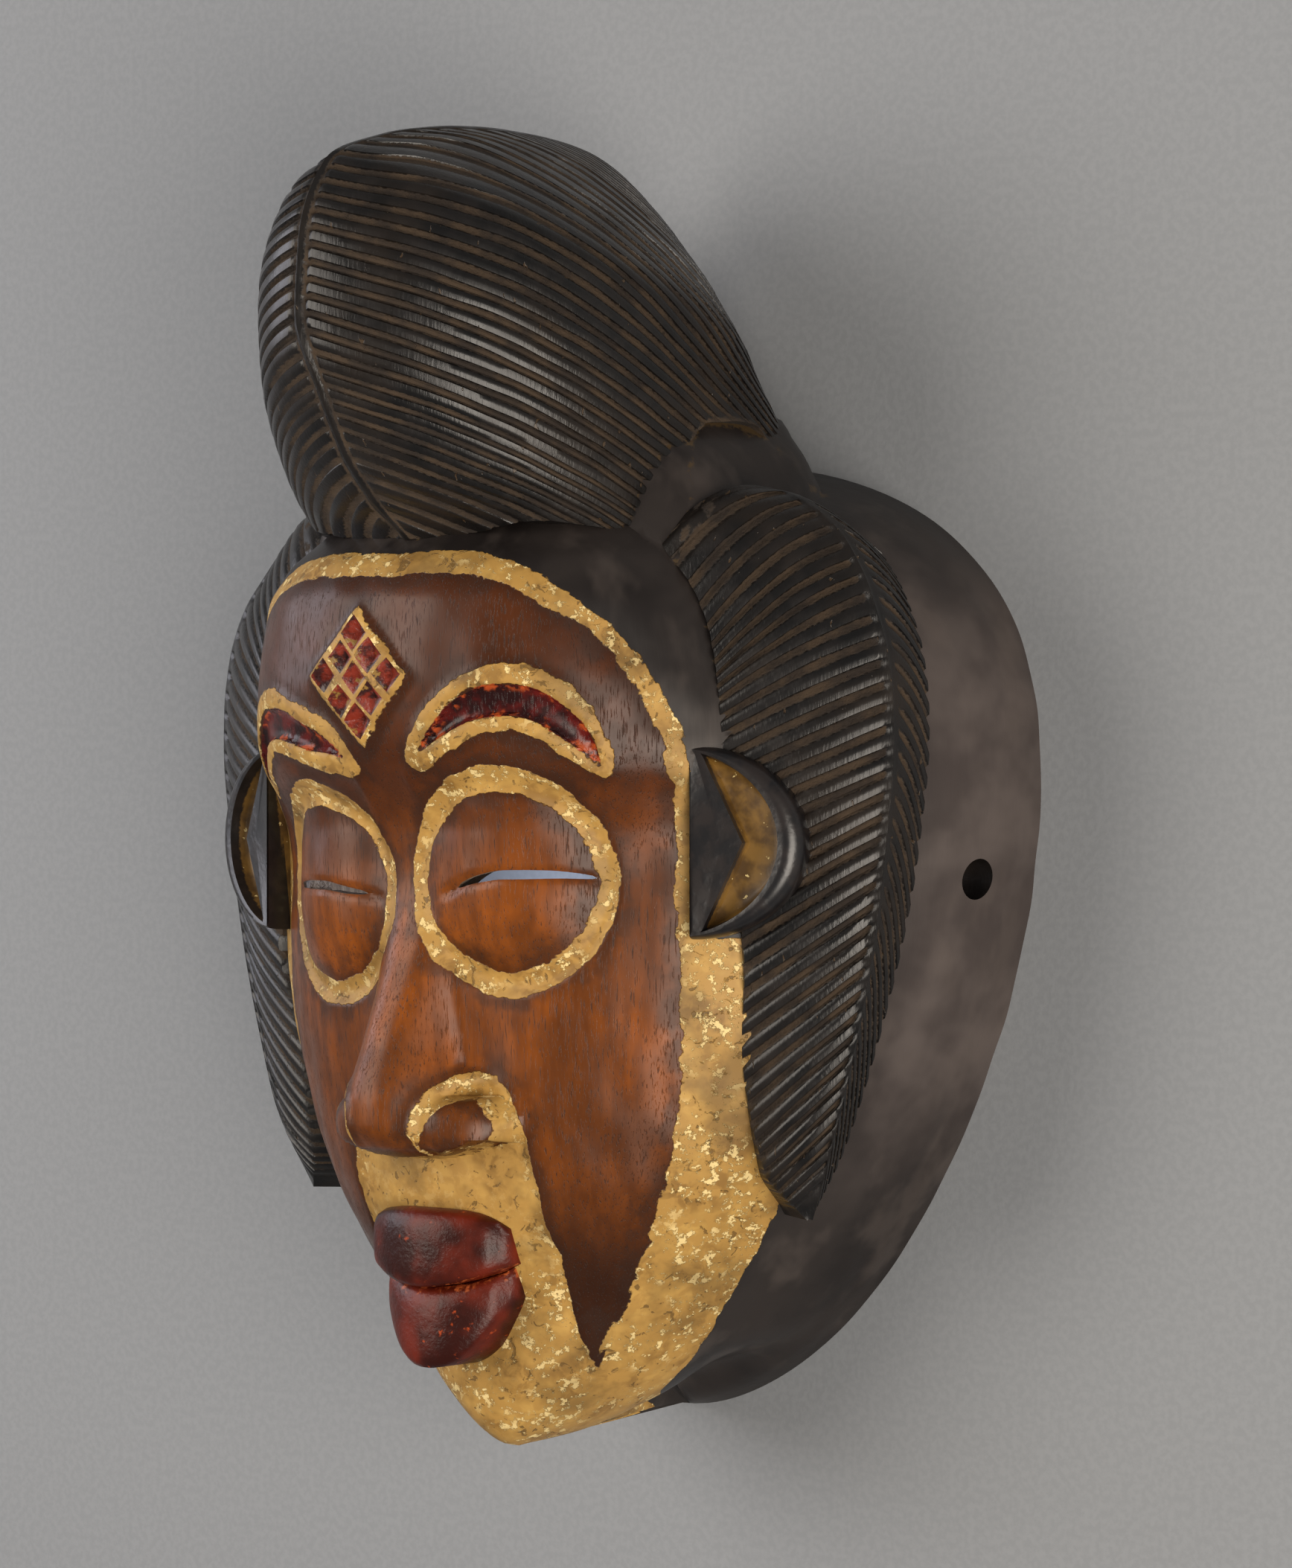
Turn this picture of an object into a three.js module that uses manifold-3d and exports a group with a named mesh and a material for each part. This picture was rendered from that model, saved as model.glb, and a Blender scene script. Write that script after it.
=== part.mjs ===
import * as THREE from 'three';
import { mergeVertices } from 'three/addons/utils/BufferGeometryUtils.js';
import Module from 'manifold-3d';

// A wooden face mask lying on the rim of its hollow back, face up.
// X runs across the face, Y from chin to crest, Z out of the face. Sizes in millimetres.

// collar: the outline that lies on the table, and the depth of the face along its middle line
const rimHalfWidth = 115.5;
const rimTop = 85;
const rimBottom = 167;
const rimTopPower = 2.45;
const rimBottomPower = 1.75;
const sectionPower = 2.3;
const chinSag = 4;
const browSag = 7;
const chinLift = [[0, 0.6], [8, 2.4], [18, 10.8], [24, 10.4], [32, 7], [40, 3.9], [57, 0.5], [75, 0]];
const creaseSpread = 12.5;
const jawCrease = [[-167, 0], [-155, 3], [-120, 2.5], [-100, 1.5], [-80, 0]];
const jawCreaseZ = [[-160, 24], [-150, 38], [-137, 46], [-110, 50]];
const faceProfile = [
  [-167, 71], [-166, 76], [-164, 79.5], [-160.5, 83], [-156, 86], [-151, 88.5], [-140, 90.5],
  [-130, 92.5], [-118, 97.3], [-100, 103.4], [-75, 106.3], [-50, 108], [-24, 109],
  [-12, 112], [-4, 117], [4, 123.5], [12, 127], [28, 129.5], [45, 128.5], [55, 123.5], [62, 115],
  [70, 106], [85, 92],
];
const templeDip = [[-160, 0], [-132, 2], [-71, 3], [-39, 5.8], [0, 11], [35, 15.5], [60, 14], [85, 4]];
const templeAngle = 44;
const templeSpread = 20;

// hollow back
const wall = 11;
const hollowTop = 58;
const hollowBottom = -152;

// crest: layers of hair on a tilted oval, each lock starting at a level of the rib in front
const layerRise = 0.31;
const layerFall = 0.27;
const crestFront = [
  [22, 110], [26.4, 117.5], [32.4, 127], [39.5, 137], [52.9, 145.5], [67.5, 150], [88.8, 149],
  [112.6, 140], [126.8, 120], [136.5, 100], [143, 83], [146.9, 70], [150, 58], [151.8, 49], [152.6, 43],
];
const crestBack = [
  [22, 6], [105, 6], [125, 11], [140, 17], [146, 23.5], [149.5, 29], [151.5, 34], [152.6, 39.5],
];
const crestHalfWidth = [
  [22, 12], [26, 20], [40, 46], [53, 52], [67, 54], [89, 56.5], [112, 56], [127, 43.5], [137, 29],
  [147, 13.6], [150.3, 7.5], [152, 3.2], [152.6, 0.8],
];
const crestKeen = [[26, 1.68], [60, 1.75], [100, 1.85], [140, 2]];
const crestSquare = [[60, 4], [92, 4], [100, 3.2], [108, 2.4], [116, 2.1], [126, 2], [140, 2]];
const crestPole = [0, 165.4, 41.3];
const crestTop = 152.5;
const crestFirstLevel = 22;
const crestLowLevel = 58;
const crestLastPlain = 143;
const crestLastLevel = 185;
const lowLockPitch = 3.6;
const lockPitch = 4.7;
const grooveShare = 0.34;
const deepestGroove = 1.5;

// how far a lock lifts over the temple and droops at the back: by its level, and by how far back it is
const lockLift = [[22, 0], [45, 1.5], [62, 2.6], [80, 3.2], [90, 4.8], [109, 8.3], [121, 10], [143, 1.5]];
const lockDroop = [[22, 0], [45, 4.5], [62, 11], [80, 12], [90, 14], [109, 22], [121, 29], [143, 40]];
const liftAlong = [[0, 0], [0.1, 0.75], [0.2, 1], [0.3, 0.93], [0.5, 0.5], [0.8, 0.1], [1, 0]];
const droopAlong = [[0, 0], [0.2, 0.03], [0.3, 0.1], [0.5, 0.36], [0.65, 0.61], [0.8, 0.83], [1, 1]];
const crestHem = [
  [165, 61], [118, 61], [109, 65.2], [94, 64.3], [84, 62.6], [79, 63.5], [76.4, 70.1], [71.5, 81.3],
  [64.5, 89.4], [58, 91.8], [45.6, 92], [37.9, 89.2], [30, 80], [25, 75], [-5, 70],
];

// scalp under the back of the crest
const scalpHalfWidth = [
  [55, 80], [62, 74], [70, 68.5], [79, 62.5], [85, 58.5], [91, 53], [94, 51], [104, 30],
];
const scalpPower = 3.4;
const scalpCentre = 47.5;
const scalpHalfDepth = 42.5;

// side locks: a ridge line that curls over at the top, and the edges towards the face and the back
const sideRidgeX = [
  [-109, 86], [-92, 94], [-75, 99.6], [-43, 107.7], [-10, 113], [10, 115.2], [20, 114.8], [34, 112.6],
  [41, 110.2], [49, 106.5], [55.3, 102.2], [62.2, 96.6], [66.5, 91.9], [70.3, 86.5], [73, 80.9],
  [74.2, 75.3],
];
const sideRidgeY = [
  [-109, -109], [0, 0], [41, 41], [49, 49], [57, 55.3], [66, 62.2], [72, 66.5], [78.5, 70.3], [91, 74.2],
];
const sideRidgeZ = [[-109, 57], [-84, 61], [40, 61.5], [66, 59], [91, 62]];
const sideFrontY = [
  [-109, -109], [-80, -98], [20, 2], [41.6, 21], [50, 26], [57, 30], [66, 37], [72, 42.5], [78.5, 49],
  [91, 62.5],
];
const sideFrontX = [
  [-109, 85], [-97, 78], [-72, 76], [-42, 80], [17, 77.5], [28, 76.5], [38, 74.5], [44, 72], [50, 68.5],
  [54, 64.8], [59, 60], [63, 57.5],
];
const sideFrontZ = [[-109, 58], [-97, 66], [-72, 72], [-42, 77], [17, 83], [59, 84], [63, 80]];
const sideBackY = [
  [-109, -109], [-80, -99], [20, 4], [34, 20], [50, 36], [57, 42], [66, 47], [78.5, 53], [91, 58],
];
const sideBackZ = [[-109, 55], [-92, 52], [-55, 48], [-20, 45], [30, 44], [75, 45]];
const sideBow = [[-60, 0.3], [0, 0.4], [20, 0.7], [41, 2], [63, 4], [91, 4.5]];
const sideTop = 91;
const sideTip = -109;
const sideBulge = 2.5;
const sideLocks = 30;
const lockDepth = 1.5;

// ears
const earFront = [72.5, -14.5, 89];
const earLean = 20;
const earWidth = 29;
const earHalfHeight = 24;
const earThickness = 16;
const earRim = 6;
const earBowlDepth = 5;
const earNotch = 13.5;

// eyes
const eyeX = 27.9;
const eyeY = -24.4;
const eyeRingWidth = 26.8;
const eyeRingHeight = 28.9;
const eyeBand = 5;
const eyeRingDepth = 1.6;
const lidHeight = 5.5;
const lidOverlap = 1.05;
const eyeSides = 20;
const slitFrom = 16;
const slitTo = 49.6;
const slitHeight = 2.7;
const slitLine = [[16, -25.8], [24, -23.6], [31, -22.6], [41, -22.5], [50, -23.6]];

// brows: crescents between two arcs
const browInner = 8.5;
const browOuter = 57;
const browEndY = 5;
const browTopY = 29.5;
const browUnderY = 13;
const browBand = 4.6;
const browSink = 1.8;

// scarification diamond on the forehead
const diamondX = -1.8;
const diamondY = 26.8;
const diamondHalfWidth = 17;
const diamondHalfHeight = 17.6;
const diamondCells = 3;
const diamondRise = 1.6;
const diamondNotch = 3;

// nose and its wings
const noseBottom = -94;
const noseTop = 2;
const noseLean = 2.2;
const noseRidge = [
  [-94, 115], [-91, 122.5], [-86, 126.5], [-80, 126.8], [-65, 122.6], [-46, 116], [-24, 110.5],
  [2, 112],
];
const noseHalfWidth = [[-94, 20], [-83, 19.5], [-65, 15.5], [-46, 12.5], [-24, 9.5], [2, 7]];
const wingX = 17.8;
const wingY = -86;
const wingSize = [10, 7, 8.5];
const archCentre = [18, -86];
const archReach = [9.6, 12.3];
const archBand = 2.4;
const archInnerZ = 119;
const archOuterZ = 98;

// lips
const lipX = -2.4;
const lipRound = 2.8;
const upperLip = {
  halfWidth: 22.8, topY: -107.6, topBend: -4.5, topPower: 4, bottomY: -127.4, bottomBend: 6.2,
  z: 107.8, cornerZ: 100,
};
const lowerLip = {
  halfWidth: 21, topY: -127.9, topBend: 5.3, topPower: 2, bottomY: -148.2, bottomBend: 18.2,
  z: 104.6, cornerZ: 95.4,
};

// cord holes drilled through the collar above the ears
const cordHoleDiameter = 10.4;
const cordHoleY = -24;
const cordHoleZ = 22;

const wasm = await Module();
wasm.setup();

const radians = THREE.MathUtils.degToRad;
const lerp = THREE.MathUtils.lerp;
const clamp = THREE.MathUtils.clamp;

// Curve through [place, value] pairs that never overshoots them.
function curveThrough(pairs) {
  const step = pairs.slice(1).map((p, i) => p[0] - pairs[i][0]);
  const slope = pairs.slice(1).map((p, i) => (p[1] - pairs[i][1]) / step[i]);
  const tangent = pairs.map((p, i) => {
    if (i === 0) return slope[0];
    if (i === pairs.length - 1) return slope[i - 1];
    const product = slope[i - 1] * slope[i];
    return product > 0 ? 2 * product / (slope[i - 1] + slope[i]) : 0;
  });
  return (place) => {
    const x = clamp(place, pairs[0][0], pairs.at(-1)[0]);
    const found = pairs.findIndex((p) => p[0] > x);
    const i = found < 0 ? pairs.length - 2 : Math.max(found - 1, 0);
    const t = (x - pairs[i][0]) / step[i];
    const bend = (tangent[i] * (1 - t) - tangent[i + 1] * t) * step[i] * t * (1 - t);
    const turn = (pairs[i + 1][1] - pairs[i][1]) * t * (1 - t) * (2 * t - 1);
    return lerp(pairs[i][1], pairs[i + 1][1], t) + bend + turn;
  };
}

const depthAt = curveThrough(faceProfile);
const dipAt = curveThrough(templeDip);
const creaseAt = curveThrough(jawCrease);
const creaseZAt = curveThrough(jawCreaseZ);
const chinLiftAt = curveThrough(chinLift);

function range(count, from, to) {
  return Array.from({ length: count + 1 }, (_, i) => lerp(from, to, i / count));
}

function volumeOf(points, faces) {
  let total = 0;
  for (let i = 0; i < faces.length; i += 3) {
    const [a, b, c] = [points[faces[i]], points[faces[i + 1]], points[faces[i + 2]]];
    total += a.dot(b.clone().cross(c));
  }
  return total;
}

// Closed geometry from points and triangles, with its faces turned outwards.
function closedGeometry(points, faces) {
  if (volumeOf(points, faces) < 0) faces.reverse();
  const geometry = new THREE.BufferGeometry().setFromPoints(points);
  geometry.setIndex(faces);
  return geometry;
}

// Triangles that close the end ring of a stack: a fan round its middle, or a strip across a flat ring.
function endFaces(points, ring, start, strip) {
  const sides = ring.length;
  const faces = [];
  if (strip) {
    for (let i = 0; i + 1 < sides / 2; i += 1) {
      const [a, b, c, d] = [i, i + 1, sides - 2 - i, sides - 1 - i].map((k) => start + k);
      faces.push(a, b, c, a, c, d);
    }
    return faces;
  }
  const centre = new THREE.Vector3();
  ring.forEach((p) => centre.addScaledVector(p, 1 / sides));
  const hub = points.push(centre) - 1;
  for (let i = 0; i < sides; i += 1) faces.push(start + i, start + (i + 1) % sides, hub);
  return faces;
}

// Closed body through a stack of rings.
function ringStack(rings, strip = false) {
  const sides = rings[0].length;
  const points = rings.flat();
  const faces = [];
  for (let row = 0; row + 1 < rings.length; row += 1) {
    for (let i = 0; i < sides; i += 1) {
      const a = row * sides + i;
      const b = row * sides + (i + 1) % sides;
      faces.push(a, b, b + sides, a, b + sides, a + sides);
    }
  }
  faces.push(...endFaces(points, rings[0], 0, strip).reverse());
  faces.push(...endFaces(points, rings.at(-1), (rings.length - 1) * sides, strip));
  return closedGeometry(points, faces);
}

// Closed pad between a front sheet and a back sheet, both given over 0..1 by 0..1.
function pad(across, along, front, back) {
  const rings = range(along, 0, 1).map((v) => {
    const over = range(across, 0, 1).map((u) => front(u, v));
    const under = range(across, 1, 0).map((u) => back(u, v));
    return [...over, ...under];
  });
  return ringStack(rings, true);
}

function toSolid(geometry) {
  const plain = geometry.index ? geometry.clone() : geometry;
  plain.deleteAttribute('normal');
  plain.deleteAttribute('uv');
  const merged = mergeVertices(plain, 1e-4);
  return new wasm.Manifold(new wasm.Mesh({
    numProp: 3,
    vertProperties: new Float32Array(merged.attributes.position.array),
    triVerts: new Uint32Array(merged.index.array),
  }));
}

function fromSolid(solid) {
  const mesh = solid.getMesh();
  const geometry = new THREE.BufferGeometry();
  geometry.setAttribute('position', new THREE.BufferAttribute(mesh.vertProperties, 3));
  geometry.setIndex(new THREE.BufferAttribute(mesh.triVerts, 1));
  return geometry;
}

// The same body on the other side of the face.
function mirrored(geometry) {
  const copy = geometry.clone().applyMatrix4(new THREE.Matrix4().makeScale(-1, 1, 1));
  const plainOrder = Array.from({ length: copy.attributes.position.count }, (_, i) => i);
  copy.setIndex([...(copy.index ? copy.index.array : plainOrder)].reverse());
  return copy;
}

function bothSides(geometry) {
  return [geometry, mirrored(geometry)];
}

function halfWidthAt(y) {
  const reach = y > 0 ? y / rimTop : -y / rimBottom;
  const power = y > 0 ? rimTopPower : rimBottomPower;
  return rimHalfWidth * (1 - Math.min(reach, 1) ** power) ** (1 / power);
}

// Distance of the face from the Y axis, at an angle from straight ahead.
function shellRadius(angle, y) {
  const side = Math.abs(Math.sin(angle)) / Math.max(halfWidthAt(y), 0.8);
  const ahead = Math.abs(Math.cos(angle)) / depthAt(y);
  const round = (side ** sectionPower + ahead ** sectionPower) ** (-1 / sectionPower);
  const off = (Math.abs(angle) - radians(templeAngle)) / radians(templeSpread);
  return round - dipAt(y) * Math.exp(-off * off);
}

// Height of the face over a point.
function faceZ(x, y) {
  let low = 0;
  let high = Math.PI / 2;
  for (let i = 0; i < 30; i += 1) {
    const middle = (low + high) / 2;
    if (shellRadius(middle, y) * Math.sin(middle) < Math.abs(x)) low = middle;
    else high = middle;
  }
  return shellRadius(low, y) * Math.cos(low);
}

// Rows bend down towards the chin and at the hairline.
function sagAt(y) {
  const chin = chinSag * THREE.MathUtils.smoothstep(-y, 140, rimBottom);
  const brow = browSag * THREE.MathUtils.smoothstep(y, 62, rimTop);
  return chin + brow;
}

function shellRing(y, columns) {
  return range(columns, -90, 90).map((degrees) => {
    const angle = radians(degrees);
    const smooth = shellRadius(angle, y);
    const off = (smooth * Math.cos(angle) - creaseZAt(y)) / creaseSpread;
    const r = smooth - creaseAt(y) * Math.exp(-off * off);
    const z = r * Math.cos(angle);
    const notch = chinLiftAt(z) * THREE.MathUtils.smoothstep(-y, 138, rimBottom);
    return new THREE.Vector3(r * Math.sin(angle), y + notch - sagAt(y) * z / depthAt(y), Math.max(z, 0));
  });
}

function shell() {
  const lower = range(16, 90, 0).map((turn) => -rimBottom * Math.sin(radians(turn)));
  const upper = range(12, 0, 90).slice(1).map((turn) => rimTop * Math.sin(radians(turn)));
  return ringStack([...lower, ...upper].map((y) => shellRing(y, 28)));
}

function hollow() {
  const inset = (angle, y) => Math.max(shellRadius(angle, y) - wall, 3);
  const squeeze = (y) => {
    const end = y > 0 ? y / hollowTop : y / hollowBottom;
    return Math.sqrt(Math.max(1 - end ** 4, 0.02));
  };
  const rows = range(10, -90, 90).map((turn) => {
    const s = Math.sin(radians(turn));
    return s > 0 ? hollowTop * s : -hollowBottom * s;
  });
  return ringStack(rows.map((y) => {
    const arc = range(12, -90, 90).map((degrees) => {
      const angle = radians(degrees);
      const r = inset(angle, y) * squeeze(y);
      return new THREE.Vector3(r * Math.sin(angle), y, r * Math.cos(angle));
    });
    const edge = arc.at(-1).x;
    return [new THREE.Vector3(-edge, y, -4), ...arc, new THREE.Vector3(edge, y, -4)];
  }));
}

const crestFrontAt = curveThrough(crestFront);
const crestBackAt = curveThrough(crestBack);
const crestHalfWidthAt = curveThrough(crestHalfWidth);
const crestKeenAt = curveThrough(crestKeen);
const crestSquareAt = curveThrough(crestSquare);
const lockLiftAt = curveThrough(lockLift);
const lockDroopAt = curveThrough(lockDroop);
const liftAlongAt = curveThrough(liftAlong);
const droopAlongAt = curveThrough(droopAlong);

function signedPower(value, power) {
  return Math.sign(value) * Math.abs(value) ** power;
}

// Places round a layer: evenly over the front, and closer at the corners of the squarer back.
const backTurns = [94, 106, 130, 180, 230, 254, 266];
const crestTurns = [...range(10, -90, 90), ...backTurns].map(radians);

// Point of the crest at a height along its tilted axis, for a turn from the rib round to the back.
function crestPoint(height, turn, sink) {
  const front = crestFrontAt(height) - sink;
  const back = crestBackAt(height) + sink;
  const power = 2 / (Math.cos(turn) > 0 ? crestKeenAt(height) : crestSquareAt(height));
  const x = (crestHalfWidthAt(height) - sink) * signedPower(Math.sin(turn), power);
  const z = (front + back) / 2 + (front - back) / 2 * signedPower(Math.cos(turn), power);
  return new THREE.Vector3(x, height + layerRise * z - layerFall * Math.abs(x), z);
}

// Height of a lock at a turn: it lifts over the temple, then droops, and the last ones close on the crown.
function lockHeight(level, turn) {
  const start = Math.min(level, crestLastPlain);
  const reach = crestFrontAt(start);
  let height = start;
  for (let i = 0; i < 5; i += 1) {
    const along = (reach - crestPoint(height, turn, 0).z) / reach;
    height = start + lockLiftAt(start) * liftAlongAt(along) - lockDroopAt(start) * droopAlongAt(along);
  }
  return lerp(height, crestTop, Math.max(level - crestLastPlain, 0) / (crestLastLevel - crestLastPlain));
}

function crest() {
  const lowLocks = Math.round((crestLowLevel - crestFirstLevel) / lowLockPitch);
  const highLocks = Math.round((crestLastLevel - crestLowLevel) / lockPitch);
  const low = range(lowLocks, crestFirstLevel, crestLowLevel);
  const levels = [...low, ...range(highLocks, crestLowLevel, crestLastLevel).slice(1)];
  const lines = levels.map((level) => crestTurns.map((turn) => lockHeight(level, turn)));
  const rings = lines.slice(0, -1).flatMap((line, lock) => {
    const ridge = crestTurns.map((turn, i) => crestPoint(line[i], turn, 0));
    const groove = crestTurns.map((turn, i) => {
      const gap = lines[lock + 1][i] - line[i];
      return crestPoint(line[i] + 0.7 * gap, turn, Math.min(grooveShare * gap, deepestGroove));
    });
    return [ridge, groove];
  });
  const [x, y, z] = crestPole;
  const tip = rings.at(-1).map((p) => p.clone().lerp(new THREE.Vector3(x, y, z), 0.85));
  return ringStack([...rings, tip]);
}

// Everything under the hem of the crest, as a block across the whole width.
function belowCrest() {
  const outline = new THREE.Shape();
  outline.moveTo(-crestHem[0][0], crestHem[0][1]);
  crestHem.slice(1).forEach(([z, y]) => outline.lineTo(-z, y));
  outline.lineTo(5, -60);
  outline.lineTo(-165, -60);
  const block = new THREE.ExtrudeGeometry(outline, { depth: 200, bevelEnabled: false });
  return block.rotateY(Math.PI / 2).translate(-100, 0, 0);
}

function scalp() {
  const width = curveThrough(scalpHalfWidth);
  return ringStack(range(6, 55, 104).map((y) => Array.from({ length: 18 }, (_, i) => {
    const turn = 2 * Math.PI * i / 18;
    const x = width(y) * signedPower(Math.sin(turn), 2 / scalpPower);
    const z = scalpCentre + scalpHalfDepth * signedPower(Math.cos(turn), 2 / scalpPower);
    return new THREE.Vector3(x, y, z);
  })));
}

const ridgeXAt = curveThrough(sideRidgeX);
const ridgeYAt = curveThrough(sideRidgeY);
const ridgeZAt = curveThrough(sideRidgeZ);
const frontXAt = curveThrough(sideFrontX);
const frontYAt = curveThrough(sideFrontY);
const frontZAt = curveThrough(sideFrontZ);
const backYAt = curveThrough(sideBackY);
const backZAt = curveThrough(sideBackZ);
const bowAt = curveThrough(sideBow);

function sideRing(level, sink) {
  const ease = THREE.MathUtils.smoothstep(level, sideTip, sideTip + 28);
  const outward = new THREE.Vector3(0.7, 0, 0.7);
  const [ridgeY, frontY, backY] = [ridgeYAt(level), frontYAt(level), backYAt(level)];
  const ridge = new THREE.Vector3(ridgeXAt(ridgeY), ridgeY, ridgeZAt(level));
  const front = new THREE.Vector3(frontXAt(frontY), frontY, frontZAt(frontY));
  const back = new THREE.Vector3(ridgeXAt(backY) - 2, backY, backZAt(backY));
  const face = range(2, 0, 1).map((u) => {
    const bulge = (sideBulge * 4 * u * (1 - u) - sink) * ease;
    const point = front.clone().lerp(ridge, u).addScaledVector(outward, bulge);
    point.y += 4 * bowAt(level) * u * (1 - u);
    return point;
  });
  back.x -= sink * ease;
  const inner = [back, front].map((p) => {
    const angle = Math.atan2(p.x, p.z);
    const r = shellRadius(angle, clamp(p.y, -120, 55)) - 8.5;
    return new THREE.Vector3(r * Math.sin(angle), p.y, r * Math.cos(angle));
  });
  return [...face, back, ...inner];
}

function sideLockBody() {
  const pitch = (sideTop - sideTip) / sideLocks;
  const rings = [];
  for (let lock = 0; lock < sideLocks; lock += 1) {
    const level = sideTip + lock * pitch;
    rings.push(sideRing(level, lockDepth));
    rings.push(sideRing(level + 0.35 * pitch, 0));
  }
  return ringStack([...rings, sideRing(sideTop, 0)]);
}

// Frame of an ear: width away from the face, height along the mask, thickness outwards.
function earPlace() {
  const lean = radians(earLean);
  const across = new THREE.Vector3(Math.cos(lean), 0, -Math.sin(lean));
  const out = new THREE.Vector3(Math.sin(lean), 0, Math.cos(lean));
  const place = new THREE.Matrix4().makeBasis(across, new THREE.Vector3(0, 1, 0), out);
  return place.setPosition(...earFront);
}

function earPlate() {
  const outline = new THREE.Shape(range(12, -90, 90).map((turn) => new THREE.Vector2(
    earWidth * Math.cos(radians(turn)), earHalfHeight * Math.sin(radians(turn)),
  )));
  const plate = new THREE.ExtrudeGeometry(outline, { depth: earThickness, bevelEnabled: false });
  return plate.translate(0, 0, -earThickness).applyMatrix4(earPlace());
}

function earBowl() {
  const curve = range(10, -80, 80).map((turn) => new THREE.Vector2(
    (earWidth - earRim) * Math.cos(radians(turn)), (earHalfHeight - earRim) * Math.sin(radians(turn)),
  ));
  const outline = new THREE.Shape([...curve, new THREE.Vector2(earNotch, 0)]);
  const bowl = new THREE.ExtrudeGeometry(outline, { depth: earBowlDepth + 2, bevelEnabled: false });
  return bowl.translate(0, 0, -earBowlDepth).applyMatrix4(earPlace());
}

function onFace(x, y, rise) {
  return new THREE.Vector3(x, y, faceZ(x, y) + rise);
}

function eyePoint(turn, scale, rise) {
  const x = eyeX + eyeRingWidth * scale * Math.cos(turn);
  return onFace(x, eyeY + eyeRingHeight * scale * Math.sin(turn), rise);
}

// Lid: a low dome inside the painted ring.
function lid() {
  const inner = 1 - eyeBand / eyeRingWidth;
  const rings = range(3, lidOverlap, 0.2).map((scale) => Array.from({ length: eyeSides }, (_, i) => {
    const turn = 2 * Math.PI * i / eyeSides;
    return eyePoint(turn, inner * scale, lidHeight * (1 - scale ** 2.4));
  }));
  const base = rings[0].map((p) => p.clone().add(new THREE.Vector3(0, 0, -5)));
  return ringStack([base, ...rings]);
}

// Shallow groove all round the lid, where the ring is painted.
function eyeGroove() {
  const inner = 1 - eyeBand / eyeRingWidth;
  const sections = Array.from({ length: eyeSides }, (_, i) => {
    const turn = 2 * Math.PI * i / eyeSides;
    return [
      eyePoint(turn, inner, 8), eyePoint(turn, 1, 8), eyePoint(turn, 1, 0.3),
      eyePoint(turn, (1 + inner) / 2, -eyeRingDepth), eyePoint(turn, inner, 0.3),
    ];
  });
  const faces = [];
  const sides = sections[0].length;
  for (let i = 0; i < eyeSides; i += 1) {
    for (let k = 0; k < sides; k += 1) {
      const a = i * sides + k;
      const b = i * sides + (k + 1) % sides;
      const c = ((i + 1) % eyeSides) * sides + k;
      const d = ((i + 1) % eyeSides) * sides + (k + 1) % sides;
      faces.push(a, b, d, a, d, c);
    }
  }
  return closedGeometry(sections.flat(), faces);
}

// Eye slit, narrow at both ends, right through the lid into the hollow.
function eyeSlit() {
  const lineAt = curveThrough(slitLine);
  const edge = (side) => range(10, 0, 1).map((u) => {
    const x = lerp(slitFrom, slitTo, u);
    return new THREE.Vector2(x, lineAt(x) + side * slitHeight / 2 * Math.sin(Math.PI * u) ** 0.55);
  });
  const outline = new THREE.Shape([...edge(-1), ...edge(1).reverse().slice(1, -1)]);
  return new THREE.ExtrudeGeometry(outline, { depth: 110, bevelEnabled: false }).translate(0, 0, 40);
}

function browArc(u, topY) {
  const x = lerp(browInner, browOuter, u);
  return [x, lerp(browEndY, topY, Math.sin(Math.PI * u) ** 0.8)];
}

// Sunk middle of a brow, inside its raised painted edge.
function browHollow() {
  const sheet = (rise) => (u, v) => {
    const along = lerp(0.06, 0.94, u);
    const [x, under] = browArc(along, browUnderY);
    const [, over] = browArc(along, browTopY);
    const inset = Math.min(browBand, (over - under) * 0.35);
    return onFace(x, lerp(under + inset, over - inset, v), rise);
  };
  return pad(10, 1, sheet(4), sheet(-browSink));
}

// Lattice of chip-cut notches in a raised diamond.
function diamond() {
  const steps = 2 * diamondCells;
  const corner = (p, q) => {
    const x = diamondX + (p - q) * diamondHalfWidth;
    return [x, diamondY + (p + q - 1) * diamondHalfHeight];
  };
  const front = (p, q) => {
    const [x, y] = corner(p, q);
    const inCell = Math.round(p * steps) % 2 === 1 && Math.round(q * steps) % 2 === 1;
    return onFace(x, y, inCell ? diamondRise - diamondNotch : diamondRise);
  };
  const back = (p, q) => onFace(...corner(p, q), -4);
  return pad(steps, steps, front, back);
}

const noseRidgeAt = curveThrough(noseRidge);
const noseHalfWidthAt = curveThrough(noseHalfWidth);

function nose() {
  const front = (u, v) => {
    const y = lerp(noseTop, noseBottom, v);
    const side = 2 * u - 1;
    const x = side * noseHalfWidthAt(y) - noseLean * THREE.MathUtils.smoothstep(-y, 30, 85);
    const foot = faceZ(x, y) - 1;
    return new THREE.Vector3(x, y, lerp(noseRidgeAt(y), foot, Math.abs(side) ** 1.8));
  };
  const back = (u, v) => {
    const p = front(u, v);
    return new THREE.Vector3(p.x, p.y, faceZ(p.x, p.y) - 5);
  };
  return pad(6, 10, front, back);
}

function noseWing() {
  const ball = new THREE.SphereGeometry(1, 9, 6).scale(...wingSize);
  return ball.translate(wingX, wingY, faceZ(wingX, wingY) + 5);
}

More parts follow.
